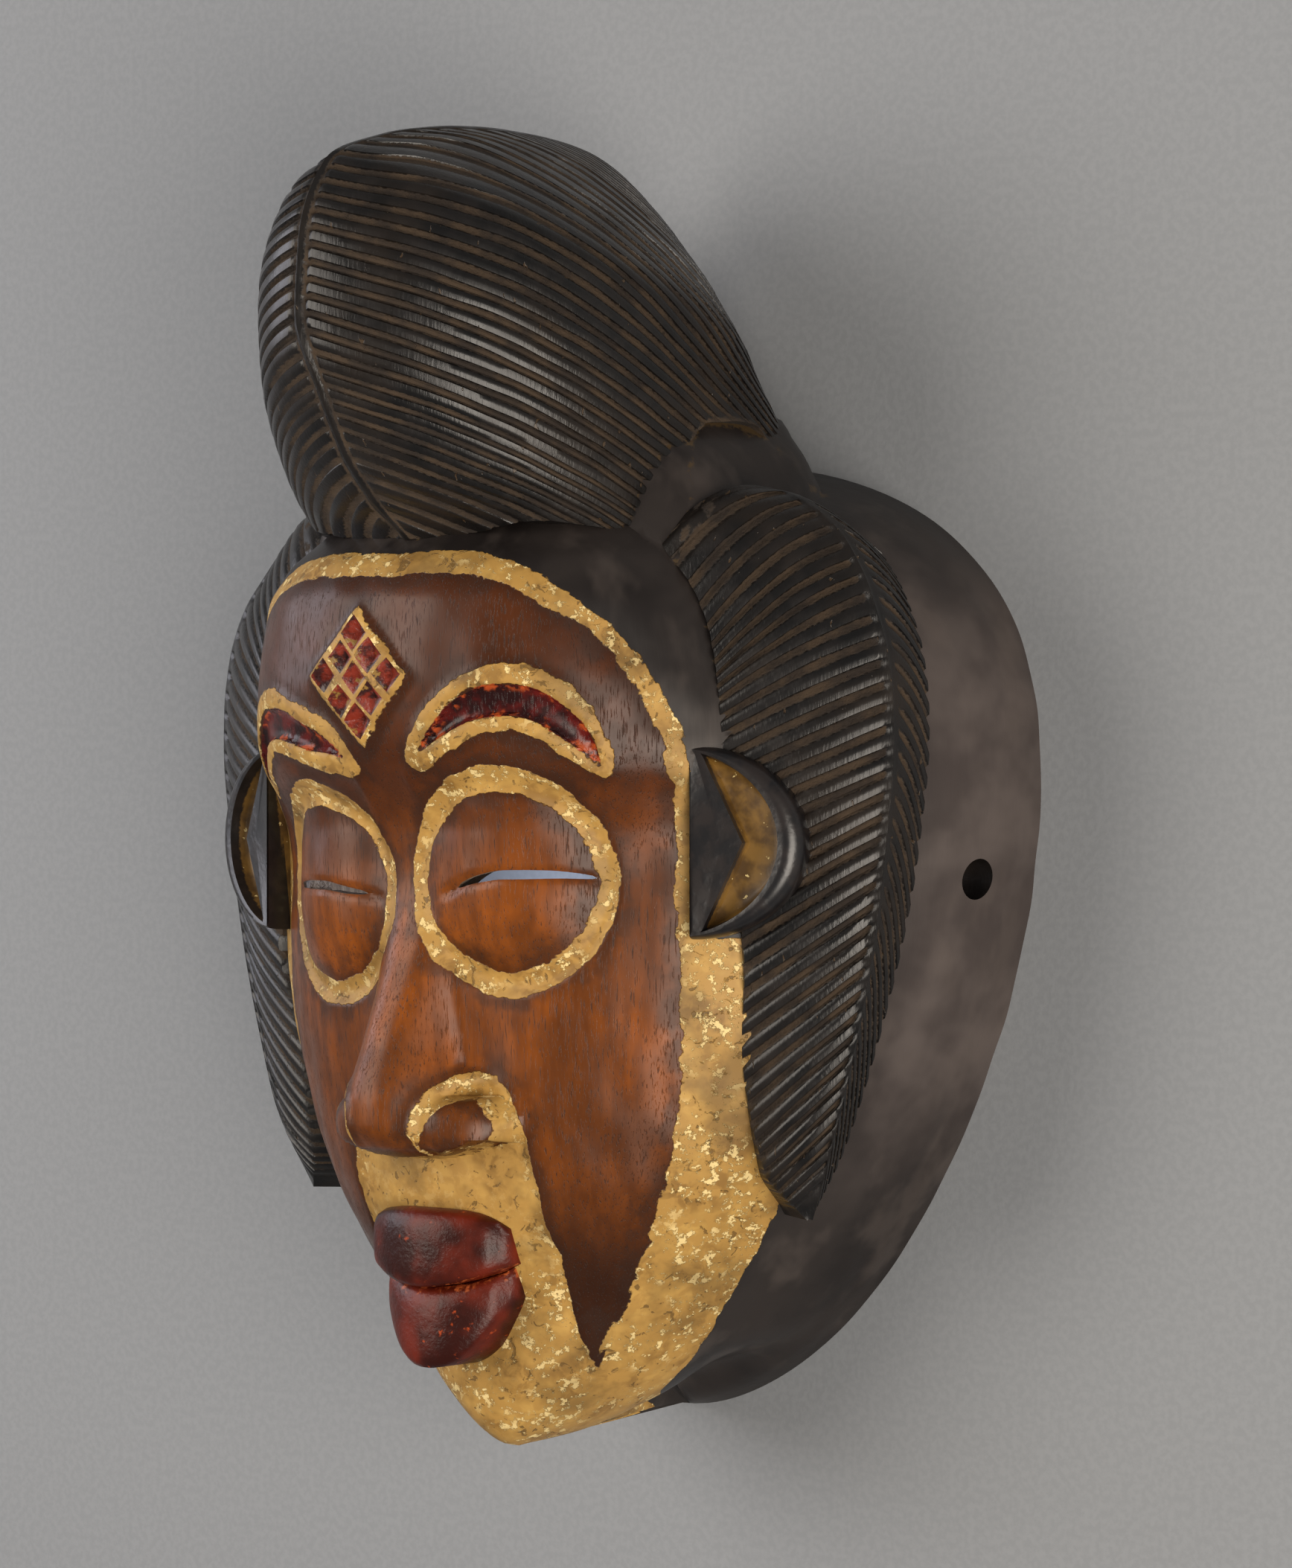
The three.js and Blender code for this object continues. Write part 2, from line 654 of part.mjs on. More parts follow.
// Raised band over the wing of the nose.
function noseArch() {
  const route = new THREE.CatmullRomCurve3(range(6, 15, 165).map((turn) => {
    const x = archCentre[0] + archReach[0] * Math.cos(radians(turn));
    const y = archCentre[1] + archReach[1] * Math.sin(radians(turn));
    return new THREE.Vector3(x, y, Math.max(faceZ(x, y) + 1, lerp(archInnerZ, archOuterZ, (x - 6) / 21)));
  }));
  const section = new THREE.Shape(range(4, 0, 288).map((turn) => new THREE.Vector2(
    archBand * Math.cos(radians(turn)), archBand * Math.sin(radians(turn)),
  )));
  return new THREE.ExtrudeGeometry(section, { steps: 6, bevelEnabled: false, extrudePath: route });
}

// A lip between two edges that bend up or down towards the corners of the mouth.
function lip(facts) {
  const sheet = (raised) => (u, v) => {
    const side = 2 * u - 1;
    const x = side * facts.halfWidth + lipX;
    const top = facts.topY + facts.topBend * Math.abs(side) ** facts.topPower;
    const y = lerp(top, facts.bottomY + facts.bottomBend * side ** 2, v);
    if (!raised) return onFace(x, y, -4);
    const z = lerp(facts.z, facts.cornerZ, side ** 2) - lipRound * Math.abs(2 * v - 1) ** 3;
    return new THREE.Vector3(x, y, Math.max(z, faceZ(x, y) + 1));
  };
  return pad(8, 4, sheet(true), sheet(false));
}

function cordHole() {
  const drill = new THREE.CylinderGeometry(cordHoleDiameter / 2, cordHoleDiameter / 2, 40, 14);
  return drill.rotateZ(Math.PI / 2).translate(rimHalfWidth - 4, cordHoleY, cordHoleZ);
}

function carveMask() {
  let solid = toSolid(crest()).subtract(toSolid(belowCrest()));
  const added = [
    shell(), scalp(), ...bothSides(sideLockBody()), ...bothSides(earPlate()), diamond(), nose(),
    ...bothSides(noseWing()), ...bothSides(noseArch()), lip(upperLip), lip(lowerLip), ...bothSides(lid()),
  ];
  added.forEach((piece) => {
    solid = solid.add(toSolid(piece));
  });
  const cut = [
    hollow(), ...bothSides(earBowl()), ...bothSides(eyeGroove()), ...bothSides(browHollow()),
    ...bothSides(eyeSlit()), ...bothSides(cordHole()),
  ];
  cut.forEach((piece) => {
    solid = solid.subtract(toSolid(piece));
  });
  return fromSolid(solid);
}

function makeMask() {
  const geometry = carveMask();
  const wood = new THREE.MeshStandardMaterial({ color: 0x5a3524, roughness: 0.5, metalness: 0 });
  const mask = new THREE.Mesh(geometry, wood);
  mask.name = 'mask';
  geometry.computeBoundingBox();
  mask.position.y = -(geometry.boundingBox.min.y + geometry.boundingBox.max.y) / 2;
  return mask;
}

const model = new THREE.Group();
model.add(makeMask());

export default model;
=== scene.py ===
import math

import bpy
import numpy as np
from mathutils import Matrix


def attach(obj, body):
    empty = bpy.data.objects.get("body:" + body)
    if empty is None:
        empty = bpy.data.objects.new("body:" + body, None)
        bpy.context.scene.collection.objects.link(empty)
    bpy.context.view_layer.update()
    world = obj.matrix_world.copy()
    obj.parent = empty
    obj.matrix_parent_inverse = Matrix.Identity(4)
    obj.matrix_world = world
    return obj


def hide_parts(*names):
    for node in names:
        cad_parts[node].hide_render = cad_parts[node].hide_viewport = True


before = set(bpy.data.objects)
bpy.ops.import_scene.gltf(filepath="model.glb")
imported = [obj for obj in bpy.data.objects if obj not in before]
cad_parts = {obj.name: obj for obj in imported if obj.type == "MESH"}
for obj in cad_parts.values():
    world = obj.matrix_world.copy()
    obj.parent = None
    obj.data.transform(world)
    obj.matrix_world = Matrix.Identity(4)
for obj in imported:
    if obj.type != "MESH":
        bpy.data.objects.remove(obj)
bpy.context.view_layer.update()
print("frame loaded")

# Shapes are worked out in millimetres: X across the face, Y from chin to crest, Z out of it.
baseLine = 1.11  # height 0 of the shapes below, above the middle of the part


def toMetres(points):
    return ((points + (0, baseLine, 0)) * 0.001).tolist()


# Smooth curve through (place, value) pairs that never overshoots them.
def curveThrough(pairs):
    place, value = np.array(pairs, float).T
    step = np.diff(place)
    slope = np.diff(value) / step
    tangent = np.empty_like(value)
    tangent[0], tangent[-1] = slope[0], slope[-1]
    both = slope[:-1] * slope[1:]
    total = np.where(both > 0, slope[:-1] + slope[1:], 1)
    tangent[1:-1] = np.where(both > 0, 2 * both / total, 0)

    def at(x):
        x = np.clip(x, place[0], place[-1])
        i = np.clip(np.searchsorted(place, x, side="right") - 1, 0, len(step) - 1)
        t = (x - place[i]) / step[i]
        bend = (tangent[i] * (1 - t) - tangent[i + 1] * t) * step[i] * t * (1 - t)
        turn = (value[i + 1] - value[i]) * t * (1 - t) * (2 * t - 1)
        return value[i] + (value[i + 1] - value[i]) * t + bend + turn

    return at


# Places along a line, from spans of (from, to, step).
def spread(spans):
    runs = [np.linspace(a, b, max(round(abs(b - a) / step), 1), endpoint=False) for a, b, step in spans]
    return np.append(np.concatenate(runs), spans[-1][1])


def smoothstep(x, low, high):
    t = np.clip((x - low) / (high - low), 0, 1)
    return t * t * (3 - 2 * t)


# The higher of two surfaces, with a rounded valley between them.
def blendMax(a, b, soft):
    share = np.clip(0.5 + 0.5 * (b - a) / soft, 0, 1)
    return a * (1 - share) + b * share + soft * share * (1 - share)


def bump(x, width):
    return np.exp(-((x / width) ** 2))


# Unevenness of hand work, about -1 to 1, with hollows roughly one wave apart.
def ripple(x, y, wave, seed):
    rng = np.random.default_rng(seed)
    total = 0
    for _ in range(9):
        turn = rng.uniform(0, 2 * math.pi)
        pace = 2 * math.pi / (wave * rng.uniform(0.6, 1.6))
        total = total + np.cos((x * math.cos(turn) + y * math.sin(turn)) * pace + rng.uniform(0, 6.3))
    return total / 4


# Smooth closed or open line through a few points.
def smoothLine(points, closed=False, per=8):
    p = np.array(points, float)
    p = np.concatenate([p[-1:], p, p[:2]]) if closed else np.concatenate([p[:1], p, p[-1:]])
    t = (np.arange(per) / per)[:, None]
    runs = []
    for a, b, c, d in zip(p, p[1:], p[2:], p[3:]):
        cubic = (3 * b - a - 3 * c + d) * t**3
        runs.append(0.5 * (2 * b + (c - a) * t + (2 * a - 5 * b + 4 * c - d) * t**2 + cubic))
    return np.concatenate(runs if closed else [*runs, p[-2:-1]])


# Distance in millimetres to an outline, above zero inside it.
def insideBy(x, y, outline):
    nearest = np.full(x.shape, 1e9)
    inside = np.zeros(x.shape, bool)
    for (ax, ay), (bx, by) in zip(outline, np.roll(outline, -1, axis=0)):
        ex, ey = bx - ax, by - ay
        t = np.clip(((x - ax) * ex + (y - ay) * ey) / max(ex * ex + ey * ey, 1e-9), 0, 1)
        nearest = np.minimum(nearest, (x - ax - t * ex) ** 2 + (y - ay - t * ey) ** 2)
        if ay != by:
            inside ^= ((ay > y) != (by > y)) & (x < ax + (y - ay) * ex / ey)
    return np.where(inside, 1, -1) * np.sqrt(nearest)


# Finishes by short name. The bodies that are joined and cut keep theirs by the material's number.
finishes = {
    "hair": "blackStainedHardwood", "skin": "oiledAndPaintedHardwood", "ear": "blackAndOchreHardwood",
    "lip": "darkRedLacquer", "cell": "rubbedRedLacquer", "back": "adzedHardwood", "floor": "paleGreyPaper",
}


def materialOf(finish):
    return bpy.data.materials.get(finishes[finish]) or bpy.data.materials.new(finishes[finish])


def addObject(name, data):
    made = bpy.data.objects.new(name, data)
    bpy.context.scene.collection.objects.link(made)
    return made


def writeAttribute(mesh, name, values, kind="FLOAT", field="value"):
    held = mesh.attributes.get(name) or mesh.attributes.new(name, kind, "POINT")
    held.data.foreach_set(field, values.astype(np.float32).ravel())


def bodyFrom(name, mesh, finish):
    mesh.materials.clear()
    for each in finishes:
        if each != "floor":
            mesh.materials.append(materialOf(each))
    number = list(finishes).index(finish)
    mesh.polygons.foreach_set("material_index", np.full(len(mesh.polygons), number, np.int32))
    return addObject(name, mesh)


def makeBody(name, points, quads, triangles, finish, bothSides=False, groove=None):
    groove = np.zeros(len(points)) if groove is None else groove
    if bothSides:
        count = len(points)
        points = np.concatenate([points, points * (-1, 1, 1)])
        quads = np.concatenate([quads, quads[:, ::-1] + count])
        triangles = np.concatenate([triangles, triangles[:, ::-1] + count])
        groove = np.concatenate([groove, groove])
    fans = [quads[:, [0, 1, 2]], quads[:, [0, 2, 3]], triangles]
    corners = points[np.concatenate(fans)]
    if np.einsum("ij,ij->", corners[:, 0], np.cross(corners[:, 1], corners[:, 2])) < 0:
        quads, triangles = quads[:, ::-1], triangles[:, ::-1]
    mesh = bpy.data.meshes.new(name)
    mesh.from_pydata(toMetres(points), [], quads.tolist() + triangles.tolist())
    writeAttribute(mesh, "groove", groove + 1)  # one more than the depth, so that 0 is a point made by a cut
    return bodyFrom(name, mesh, finish)


# Four-sided faces between rings of points, each ring joined to the next.
def ringQuads(rows, sides):
    row = np.arange(rows - 1)[:, None] * sides
    a, b = (row + np.arange(sides)).ravel(), (row + np.roll(np.arange(sides), -1)).ravel()
    return np.stack([a, b, b + sides, a + sides], 1)


# Closed body through rings of points, with a fan at each end.
def ringStack(name, rings, finish, bothSides=False, hubs=None, groove=None):
    rows, sides = rings.shape[:2]
    first, last = (rings[0].mean(0), rings[-1].mean(0)) if hubs is None else hubs
    points = np.concatenate([rings.reshape(-1, 3), [first, last]])
    side = np.arange(sides)
    after = np.roll(side, -1)
    top = (rows - 1) * sides
    low = np.stack([after, side, np.full(sides, rows * sides)], 1)
    high = np.stack([side + top, after + top, np.full(sides, rows * sides + 1)], 1)
    if groove is not None:
        groove = np.concatenate([np.asarray(groove).ravel(), [0, 0]])
    fans = np.concatenate([low, high])
    return makeBody(name, points, ringQuads(rows, sides), fans, finish, bothSides, groove)


# Collar and face: one shell, each row an arc from rim to rim.
collar = {
    "halfWidth": 115.2, "top": 85, "bottom": 167, "topPower": 2.45, "bottomPower": 1.75,
    "sectionPower": 2.3, "dipAngle": 44, "dipSpread": 20, "creaseSpread": 12.5, "reliefAngle": 75,
    "chinSag": 4, "chinSagFrom": 140, "browSag": 7, "browSagFrom": 62, "notchFrom": 138,
    "unevenness": 0.22, "unevenWave": 17, "unevenRadius": 110, "smoothChin": (-160, -140), "seed": 3,
    "turnSteps": [(-90, -50, 1.7), (-50, -36, 0.95), (-36, 36, 0.68), (36, 50, 0.95), (50, 90, 1.7)],
    "rowSteps": [
        (-167, -164, 0.5), (-164, -150, 1), (-150, -97, 1.35), (-97, -90, 0.5), (-90, 62, 1.2),
        (62, 80, 1.5), (80, 85, 0.7),
    ],
}
faceDepth = curveThrough([
    (-167, 71), (-166, 76), (-164, 79.5), (-160.5, 83), (-156, 86), (-151, 88.5), (-140, 90.5), (-130, 92.5),
    (-118, 97.3), (-100, 103.4), (-75, 106.3), (-50, 108), (-24, 109), (-12, 112), (-4, 117), (4, 123.5),
    (12, 127), (28, 129.5), (45, 128.5), (55, 123.5), (62, 115), (70, 106), (85, 92),
])
templeDip = curveThrough([
    (-160, 0), (-132, 2), (-71, 3), (-39, 5.8), (0, 11), (35, 15.5), (60, 14), (85, 4),
])
jawCrease = curveThrough([(-167, 0), (-155, 3), (-120, 2.5), (-100, 1.5), (-80, 0)])
jawCreaseZ = curveThrough([(-160, 24), (-150, 38), (-137, 46), (-110, 50)])
chinLift = curveThrough([(0, 0.6), (8, 2.4), (18, 10.8), (24, 10.4), (32, 7), (40, 3.9), (57, 0.5), (75, 0)])


def halfWidth(y):
    reach = np.where(y > 0, y / collar["top"], -y / collar["bottom"])
    power = np.where(y > 0, collar["topPower"], collar["bottomPower"])
    return collar["halfWidth"] * (1 - np.minimum(reach, 1) ** power) ** (1 / power)


def shellRadius(angle, y):
    power = collar["sectionPower"]
    side = np.abs(np.sin(angle)) / np.maximum(halfWidth(y), 0.8)
    ahead = np.abs(np.cos(angle)) / faceDepth(y)
    off = (np.abs(angle) - math.radians(collar["dipAngle"])) / math.radians(collar["dipSpread"])
    return (side**power + ahead**power) ** (-1 / power) - templeDip(y) * bump(off, 1)


# Height of the plain face over a point.
def faceZ(x, y):
    x, y = np.broadcast_arrays(np.asarray(x, float), np.asarray(y, float))
    low, high = np.zeros(x.shape), np.full(x.shape, math.pi / 2)
    for _ in range(26):  # halves the arc that the point lies on
        middle = (low + high) / 2
        short = shellRadius(middle, y) * np.sin(middle) < np.abs(x)
        low, high = np.where(short, middle, low), np.where(short, high, middle)
    return shellRadius(low, y) * np.cos(low)


# Paint outlines on one half of the face, (x, y) as seen from in front.
paint = {
    "hairline": [
        (-20, 57), (-2, 57.6), (16, 58.2), (27, 57.4), (37.7, 55.2), (46.7, 50), (52, 46), (58, 40),
        (63.6, 31.4), (69, 20.4), (72.4, 9),
    ],
    "innerHairline": [
        (-20, 51.4), (1, 51.8), (21.6, 52.2), (35, 50.2), (46.6, 44.2), (55.2, 38.3), (62, 27.8),
        (66.6, 17.6), (68.8, 9),
    ],
    "wing": [
        (10.2, -94.5), (10.6, -88), (13.4, -83), (17.2, -79.6), (21.6, -79), (25, -82), (26.6, -87.2),
        (20, -93),
    ],
    "brow": [
        (10.2, 6.5), (13.7, 12.7), (19.4, 19.6), (28.4, 26.2), (37.7, 29.8), (46, 28.8), (53.7, 23.9),
        (58.8, 14.9), (60, 6), (57.6, 1.2), (51.5, 6.1), (47.6, 10.6), (41.2, 13.2), (33.5, 12.2),
        (23.9, 7.8), (15.9, 3.4), (11.6, 4),
    ],
    "browRed": [
        (15.1, 8.4), (20, 14.5), (26.2, 20.2), (33.9, 24), (42.6, 24.4), (48.8, 21.9), (54.4, 16.2),
        (57, 10.5), (57.2, 4.6), (54.4, 8), (50, 12.4), (45.1, 15.7), (39, 16.8), (30.8, 15.5), (22.7, 12),
    ],
}
for name, line in paint.items():
    paint[name] = smoothLine(line, closed=name not in ("hairline", "innerHairline"))
paint["face"] = [
    *paint["hairline"], (73.5, -14), (73.5, -38), (112, -44), (112, -190), (-30, -190), (-30, 57),
]
paint["wood"] = [
    *paint["innerHairline"], (68.6, 0), (67, -9), (65.8, -27), (66.2, -38), (66.6, -50), (66.2, -62),
    (64.3, -77), (60.3, -92), (54.6, -105), (48, -118), (40, -131), (33, -141), (28.6, -149), (29.4, -135),
    (30.4, -126), (31.2, -119), (30.2, -112), (31, -104), (29.6, -95), (29.3, -88), (28.4, -82),
    (26.4, -76.6), (22.8, -73.2), (18.6, -71.6), (14.6, -73), (11, -77), (8.9, -82), (8.2, -88),
    (8.2, -93.6), (-30, -94.5), (-30, 51),
]
eyes = {
    "x": 27.9, "y": -24.4, "farX": 31.8, "farY": -28, "width": 26.8, "height": 28.9, "innerWidth": 22.2,
    "innerHeight": 22.5, "sink": 1.3, "sinkEase": 2.2, "lid": 6.3, "lidPower": 2.1, "lean": 0.19,
}
slit = {
    "from": 16, "to": 49.6, "height": 2.3, "ends": 0.4, "flare": (1.75, 3),
    "groove": 1.3, "grooveWidth": 1.1, "grooveStart": (9, 14), "grooveEnd": (52, 50),
    "above": 20, "lidCut": 1, "behindFace": 5.5, "through": 40,
}
farSlitDrop = curveThrough([(8, 0.9), (14, 1.6), (24, 3.2), (48, 3.4), (52, 3)])
slitLine = curveThrough([
    (8, -29), (10.5, -28.1), (18, -25.2), (24, -23.6), (31, -22.6), (41, -22.5), (48.8, -23.2), (52, -24.8),
])
relief = {
    "browRise": 0.6, "browEdge": (-1, 0.8), "browSink": 2.4, "browRedEdge": (-0.7, 1.3),
    "paintSink": 0.9, "paintEdge": (-0.4, 1), "paintBelow": (60, 75), "paintAhead": (60, 75),
    "noseBlend": 7, "wingBlend": 0.8, "archBlend": 0.7,
    "farBrowInward": 3.5, "farBrowDown": 1.7, "farBrowTilt": 3.6,
}


# Distance inside the painted ring round an eye, and the share of the way out to it.
def eyeRing(x, y):
    dy = y - np.where(x < 0, eyes["farY"], eyes["y"])
    dx = np.abs(x) - np.where(x < 0, eyes["farX"], eyes["x"])
    dx = dx - np.where(x < 0, 0, eyes["lean"]) * np.maximum(dy, 0) ** 2 / eyes["height"]
    outer = np.maximum(np.hypot(dx / eyes["width"], dy / eyes["height"]), 0.05)
    inner = np.maximum(np.hypot(dx / eyes["innerWidth"], dy / eyes["innerHeight"]), 0.05)
    reach = np.hypot(dx, dy)
    return np.minimum((1 - outer) * reach / outer, (inner - 1) * reach / inner), inner


# Where a point lies on the drawn brow: the far one was cut lower and closer to the middle.
def browPlace(x, y):
    side, far = np.abs(x), x < 0
    inward = relief["farBrowInward"] * (1 - smoothstep(side, 12, 34))
    down = relief["farBrowDown"] + relief["farBrowTilt"] * smoothstep(side, 10, 28)
    return side + far * inward, y + far * down


diamond = {
    "x": -1.8, "y": 26.8, "halfWidth": 17, "halfHeight": 17.6, "rise": 1.7, "edge": (-1.2, 0.8),
    "cells": 3, "fill": 0.93, "bar": 2.2, "depth": 3, "standAbove": 1.2,
    "jitter": 0.5, "unevenness": 0.12, "seed": 12, "cutSeed": 4,
}


def insideDiamond(x, y):
    width, height = diamond["halfWidth"], diamond["halfHeight"]
    reach = np.abs(x - diamond["x"]) / width + np.abs(y - diamond["y"]) / height
    return (1 - reach) * width * height / math.hypot(width, height)


nose = {
    "top": 2, "lean": 2.2, "leanOver": (-30, -85), "foot": 1, "flankPower": 2.35, "sideFall": 9,
    "bottom": -94.2, "bottomRise": 4.4, "bottomReach": 22, "bottomFall": 26,
    "wing": (17.8, -86), "wingSize": (10, 7.8, 8.5), "wingLift": 5,
    "wingPower": 2.5, "wingRound": 0.45, "wingTilt": 0.45,
    "arch": (18.4, -86), "archReach": (9.4, 12), "archBand": 3, "archLift": 1.4,  # raised band over the wing
    "archRound": 2.6, "archEdge": 1.6, "archEnd": 1.5, "archEndFall": 30, "tip": (6, 119),
}
noseRidge = curveThrough([
    (-94, 115), (-91, 122.5), (-86, 126.5), (-80, 126.8), (-65, 122.6), (-46, 116), (-24, 110.5), (2, 112),
])
noseHalfWidth = curveThrough([(-94, 20), (-83, 19.5), (-65, 15.5), (-46, 12.8), (-24, 10.4), (2, 8)])
nowhere = -1e3  # height given where a form isn't there
farAway = 99  # distance given where no edge is near


def noseBottom(x):
    return nose["bottom"] + nose["bottomRise"] * np.minimum(np.abs(x) / nose["bottomReach"], 1) ** 2


def noseHeight(x, y, z):
    side = np.abs(x + nose["lean"] * smoothstep(y, *nose["leanOver"])) / noseHalfWidth(y)
    foot = z - nose["foot"]
    within = noseRidge(y) + (foot - noseRidge(y)) * np.minimum(side, 1) ** nose["flankPower"]
    drop = np.maximum(side - 1, 0) * nose["sideFall"] + np.maximum(y - nose["top"], 0)
    return within - (drop + np.maximum(noseBottom(x) - y, 0) * nose["bottomFall"])


def wingHeight(x, y):
    (cx, cy), (sx, sy, sz) = nose["wing"], nose["wingSize"]
    power, out = nose["wingPower"], np.abs(x) - cx
    reach = (np.abs(out) / sx) ** power + (np.abs(y - cy) / sy) ** power
    dome = sz * np.maximum(1 - reach, 0) ** nose["wingRound"]
    dome = faceZ(cx, cy) + nose["wingLift"] + dome - nose["wingTilt"] * out
    return np.where((reach < 1) & (y > noseBottom(x)), dome, nowhere)


def archHeight(x, y, z):
    (cx, cy), (rx, ry), (tipX, tipZ) = nose["arch"], nose["archReach"], nose["tip"]
    dx, dy = np.abs(x) - cx, np.maximum(y - cy, 0)
    share = np.maximum(np.hypot(dx / rx, dy / ry), 0.05)
    away = (share - 1) * np.hypot(dx, dy) / share
    crown = np.maximum(z, tipZ - (np.abs(x) - tipX)) + nose["archLift"]
    sink = (away / nose["archBand"]) ** 2
    aboveBottom = y - noseBottom(x)
    faded = smoothstep(aboveBottom, -nose["archEnd"], nose["archEnd"])
    height = crown - nose["archRound"] * sink - nose["archEndFall"] * (1 - faded)
    return np.where((sink < nose["archEdge"]) & (aboveBottom > -nose["archEnd"]), height, nowhere)


# Carved relief of the face, as a new height for each point of the plain shell.
def carveFace(x, y, z):
    within, share = eyeRing(x, y)
    z = z + eyes["lid"] * (1 - np.minimum(share, 1) ** eyes["lidPower"])
    z = z - eyes["sink"] * smoothstep(within, 0, eyes["sinkEase"])
    side = np.abs(x)
    off = y - slitLine(side) + farSlitDrop(side) * (x < 0)
    groove = slit["groove"] * bump(off, slit["grooveWidth"])
    z = z - groove * smoothstep(side, *slit["grooveStart"]) * smoothstep(side, *slit["grooveEnd"])
    drawn = browPlace(x, y)
    z = z + relief["browRise"] * smoothstep(insideBy(*drawn, paint["brow"]), *relief["browEdge"])
    z = z - relief["browSink"] * smoothstep(insideBy(*drawn, paint["browRed"]), *relief["browRedEdge"])
    z = z + diamond["rise"] * smoothstep(insideDiamond(x, y), *diamond["edge"])
    field = smoothstep(-insideBy(side, y, paint["wood"]), *relief["paintEdge"])
    field = field * smoothstep(-y, *relief["paintBelow"])
    z = z - relief["paintSink"] * field * smoothstep(z, *relief["paintAhead"])
    z = blendMax(z, noseHeight(x, y, z), relief["noseBlend"])
    z = blendMax(z, wingHeight(x, y), relief["wingBlend"])
    return blendMax(z, archHeight(x, y, z), relief["archBlend"])


def makeShell():
    angle, y = np.meshgrid(np.radians(spread(collar["turnSteps"])), spread(collar["rowSteps"]))
    smooth = shellRadius(angle, y)
    along = angle * collar["unevenRadius"]
    uneven = collar["unevenness"] * ripple(along, y, collar["unevenWave"], collar["seed"])
    smooth += uneven * smoothstep(y, *collar["smoothChin"])
    off = (smooth * np.cos(angle) - jawCreaseZ(y)) / collar["creaseSpread"]
    radius = smooth - jawCrease(y) * bump(off, 1)
    x, z = radius * np.sin(angle), radius * np.cos(angle)
    notch = chinLift(z) * smoothstep(-y, collar["notchFrom"], collar["bottom"])
    sag = collar["chinSag"] * smoothstep(-y, collar["chinSagFrom"], collar["bottom"])
    sag += collar["browSag"] * smoothstep(y, collar["browSagFrom"], collar["top"])
    lifted = y + notch - sag * z / faceDepth(y)
    front = np.abs(angle) < math.radians(collar["reliefAngle"])
    z = np.where(front, carveFace(x, lifted, z), z)
    return ringStack("shell", np.stack([x, lifted, np.maximum(z, 0)], 2), "skin")


# Crest: layers of hair that droop to the back, each lock a broad ridge with a groove under the next one.
crest = {
    "rise": 0.31, "fall": 0.27, "top": 152.5, "pole": (0, 165.4, 41.3),
    "firstLevel": 22, "lastPlain": 143, "lastLevel": 185,  # past the last plain level the locks flatten out
    "lowPitch": 3, "lowTop": 58, "pitch": 4.35, "grooveDepth": 0.34, "deepest": 1.6, "wobble": 0.34,
    "ribHeight": 0.7, "ribWidth": 0.8, "besideRib": 1.9, "besideWidth": 0.7, "besideDepth": 0.9,
    "besideDust": 0.8, "clearOfRib": (1.5, 2.8), "temple": 84, "hemEase": (2, 0.3), "seed": 5,
}
crestFront = curveThrough([
    (22, 110), (26.4, 117.5), (32.4, 127), (39.5, 137), (52.9, 145.5), (67.5, 150), (88.8, 149),
    (112.6, 140), (126.8, 120), (136.5, 99.6), (143, 82.4), (146.9, 69.6), (150, 58), (151.8, 49),
    (152.6, 43),
])
crestBack = curveThrough([
    (22, 6), (105, 6), (125, 11), (140, 17), (146, 23.5), (149.5, 29), (151.5, 34), (152.6, 39.5),
])
crestHalfWidth = curveThrough([
    (22, 12), (26, 20), (40, 46), (53, 52), (67, 54), (89, 56.5), (112, 56), (127, 43.5), (137, 29),
    (147, 13.6), (150.3, 7.5), (152, 3.2), (152.6, 0.8),
])
crestKeen = curveThrough([(26, 1.68), (60, 1.75), (100, 1.85), (140, 2)])
crestSquare = curveThrough([(60, 4), (92, 4), (100, 3.2), (108, 2.4), (116, 2.1), (126, 2), (140, 2)])
ribShift = curveThrough([
    (27, 2.5), (32, 0), (44, 0.5), (52, 0), (60, -1.4), (72, -3.5), (90, -3.3), (105, -3.5), (115, -2.7),
    (143, 0),
])
hemLine = [
    (165, 61), (118, 61), (109, 65.2), (94, 64.3), (84, 62.6), (79, 63.5), (76.4, 70.1), (71.5, 81.3),
    (64.5, 89.4), (58, 91.8), (45.6, 92), (37.9, 89.2), (30, 80), (25, 75), (-8, 70),
]
hemPlace, hemHeight = smoothLine(hemLine)[::-1].T

# How far a lock lifts over the temple and droops at the back: by its level, and by how far back it is.
lockLift = curveThrough([
    (22, 0), (45, 1.5), (62, 2.6), (80, 3.2), (90, 4.8), (109, 8.3), (121, 10), (143, 1.5),
])
lockDroop = curveThrough([(22, 0), (45, 4.5), (62, 11), (80, 12), (90, 14), (109, 22), (121, 29), (143, 40)])
liftAlong = curveThrough([(0, 0), (0.1, 0.75), (0.2, 1), (0.3, 0.93), (0.5, 0.5), (0.8, 0.1), (1, 0)])
droopAlong = curveThrough([(0, 0), (0.2, 0.03), (0.3, 0.1), (0.5, 0.36), (0.65, 0.61), (0.8, 0.83), (1, 1)])

# Across one lock: share of the way to the next lock, and how deep the surface lies there.
lockShape = [(0, 0.08), (0.22, 0), (0.46, 0.06), (0.56, 0.4), (0.68, 0.95), (0.85, 1), (0.95, 0.45)]


# Uneven run of a cut edge, a given share of the way from one lock to the next.
def edgeWander(lock, share, along, seed):
    phase = np.random.default_rng(seed).uniform(0, 2 * math.pi, (4, 400))
    waves = [(11, 0.5), (5.3, 0.35), (2.9, 0.2), (1.7, 0.12)]  # length and size
    here, there = (sum(np.sin(along / wave + phase[k, each]) * size for k, (wave, size) in enumerate(waves))
                   for each in (lock, lock + 1))
    return (1 - share) * here + share * there


def signedPower(value, power):
    return np.sign(value) * np.abs(value) ** power


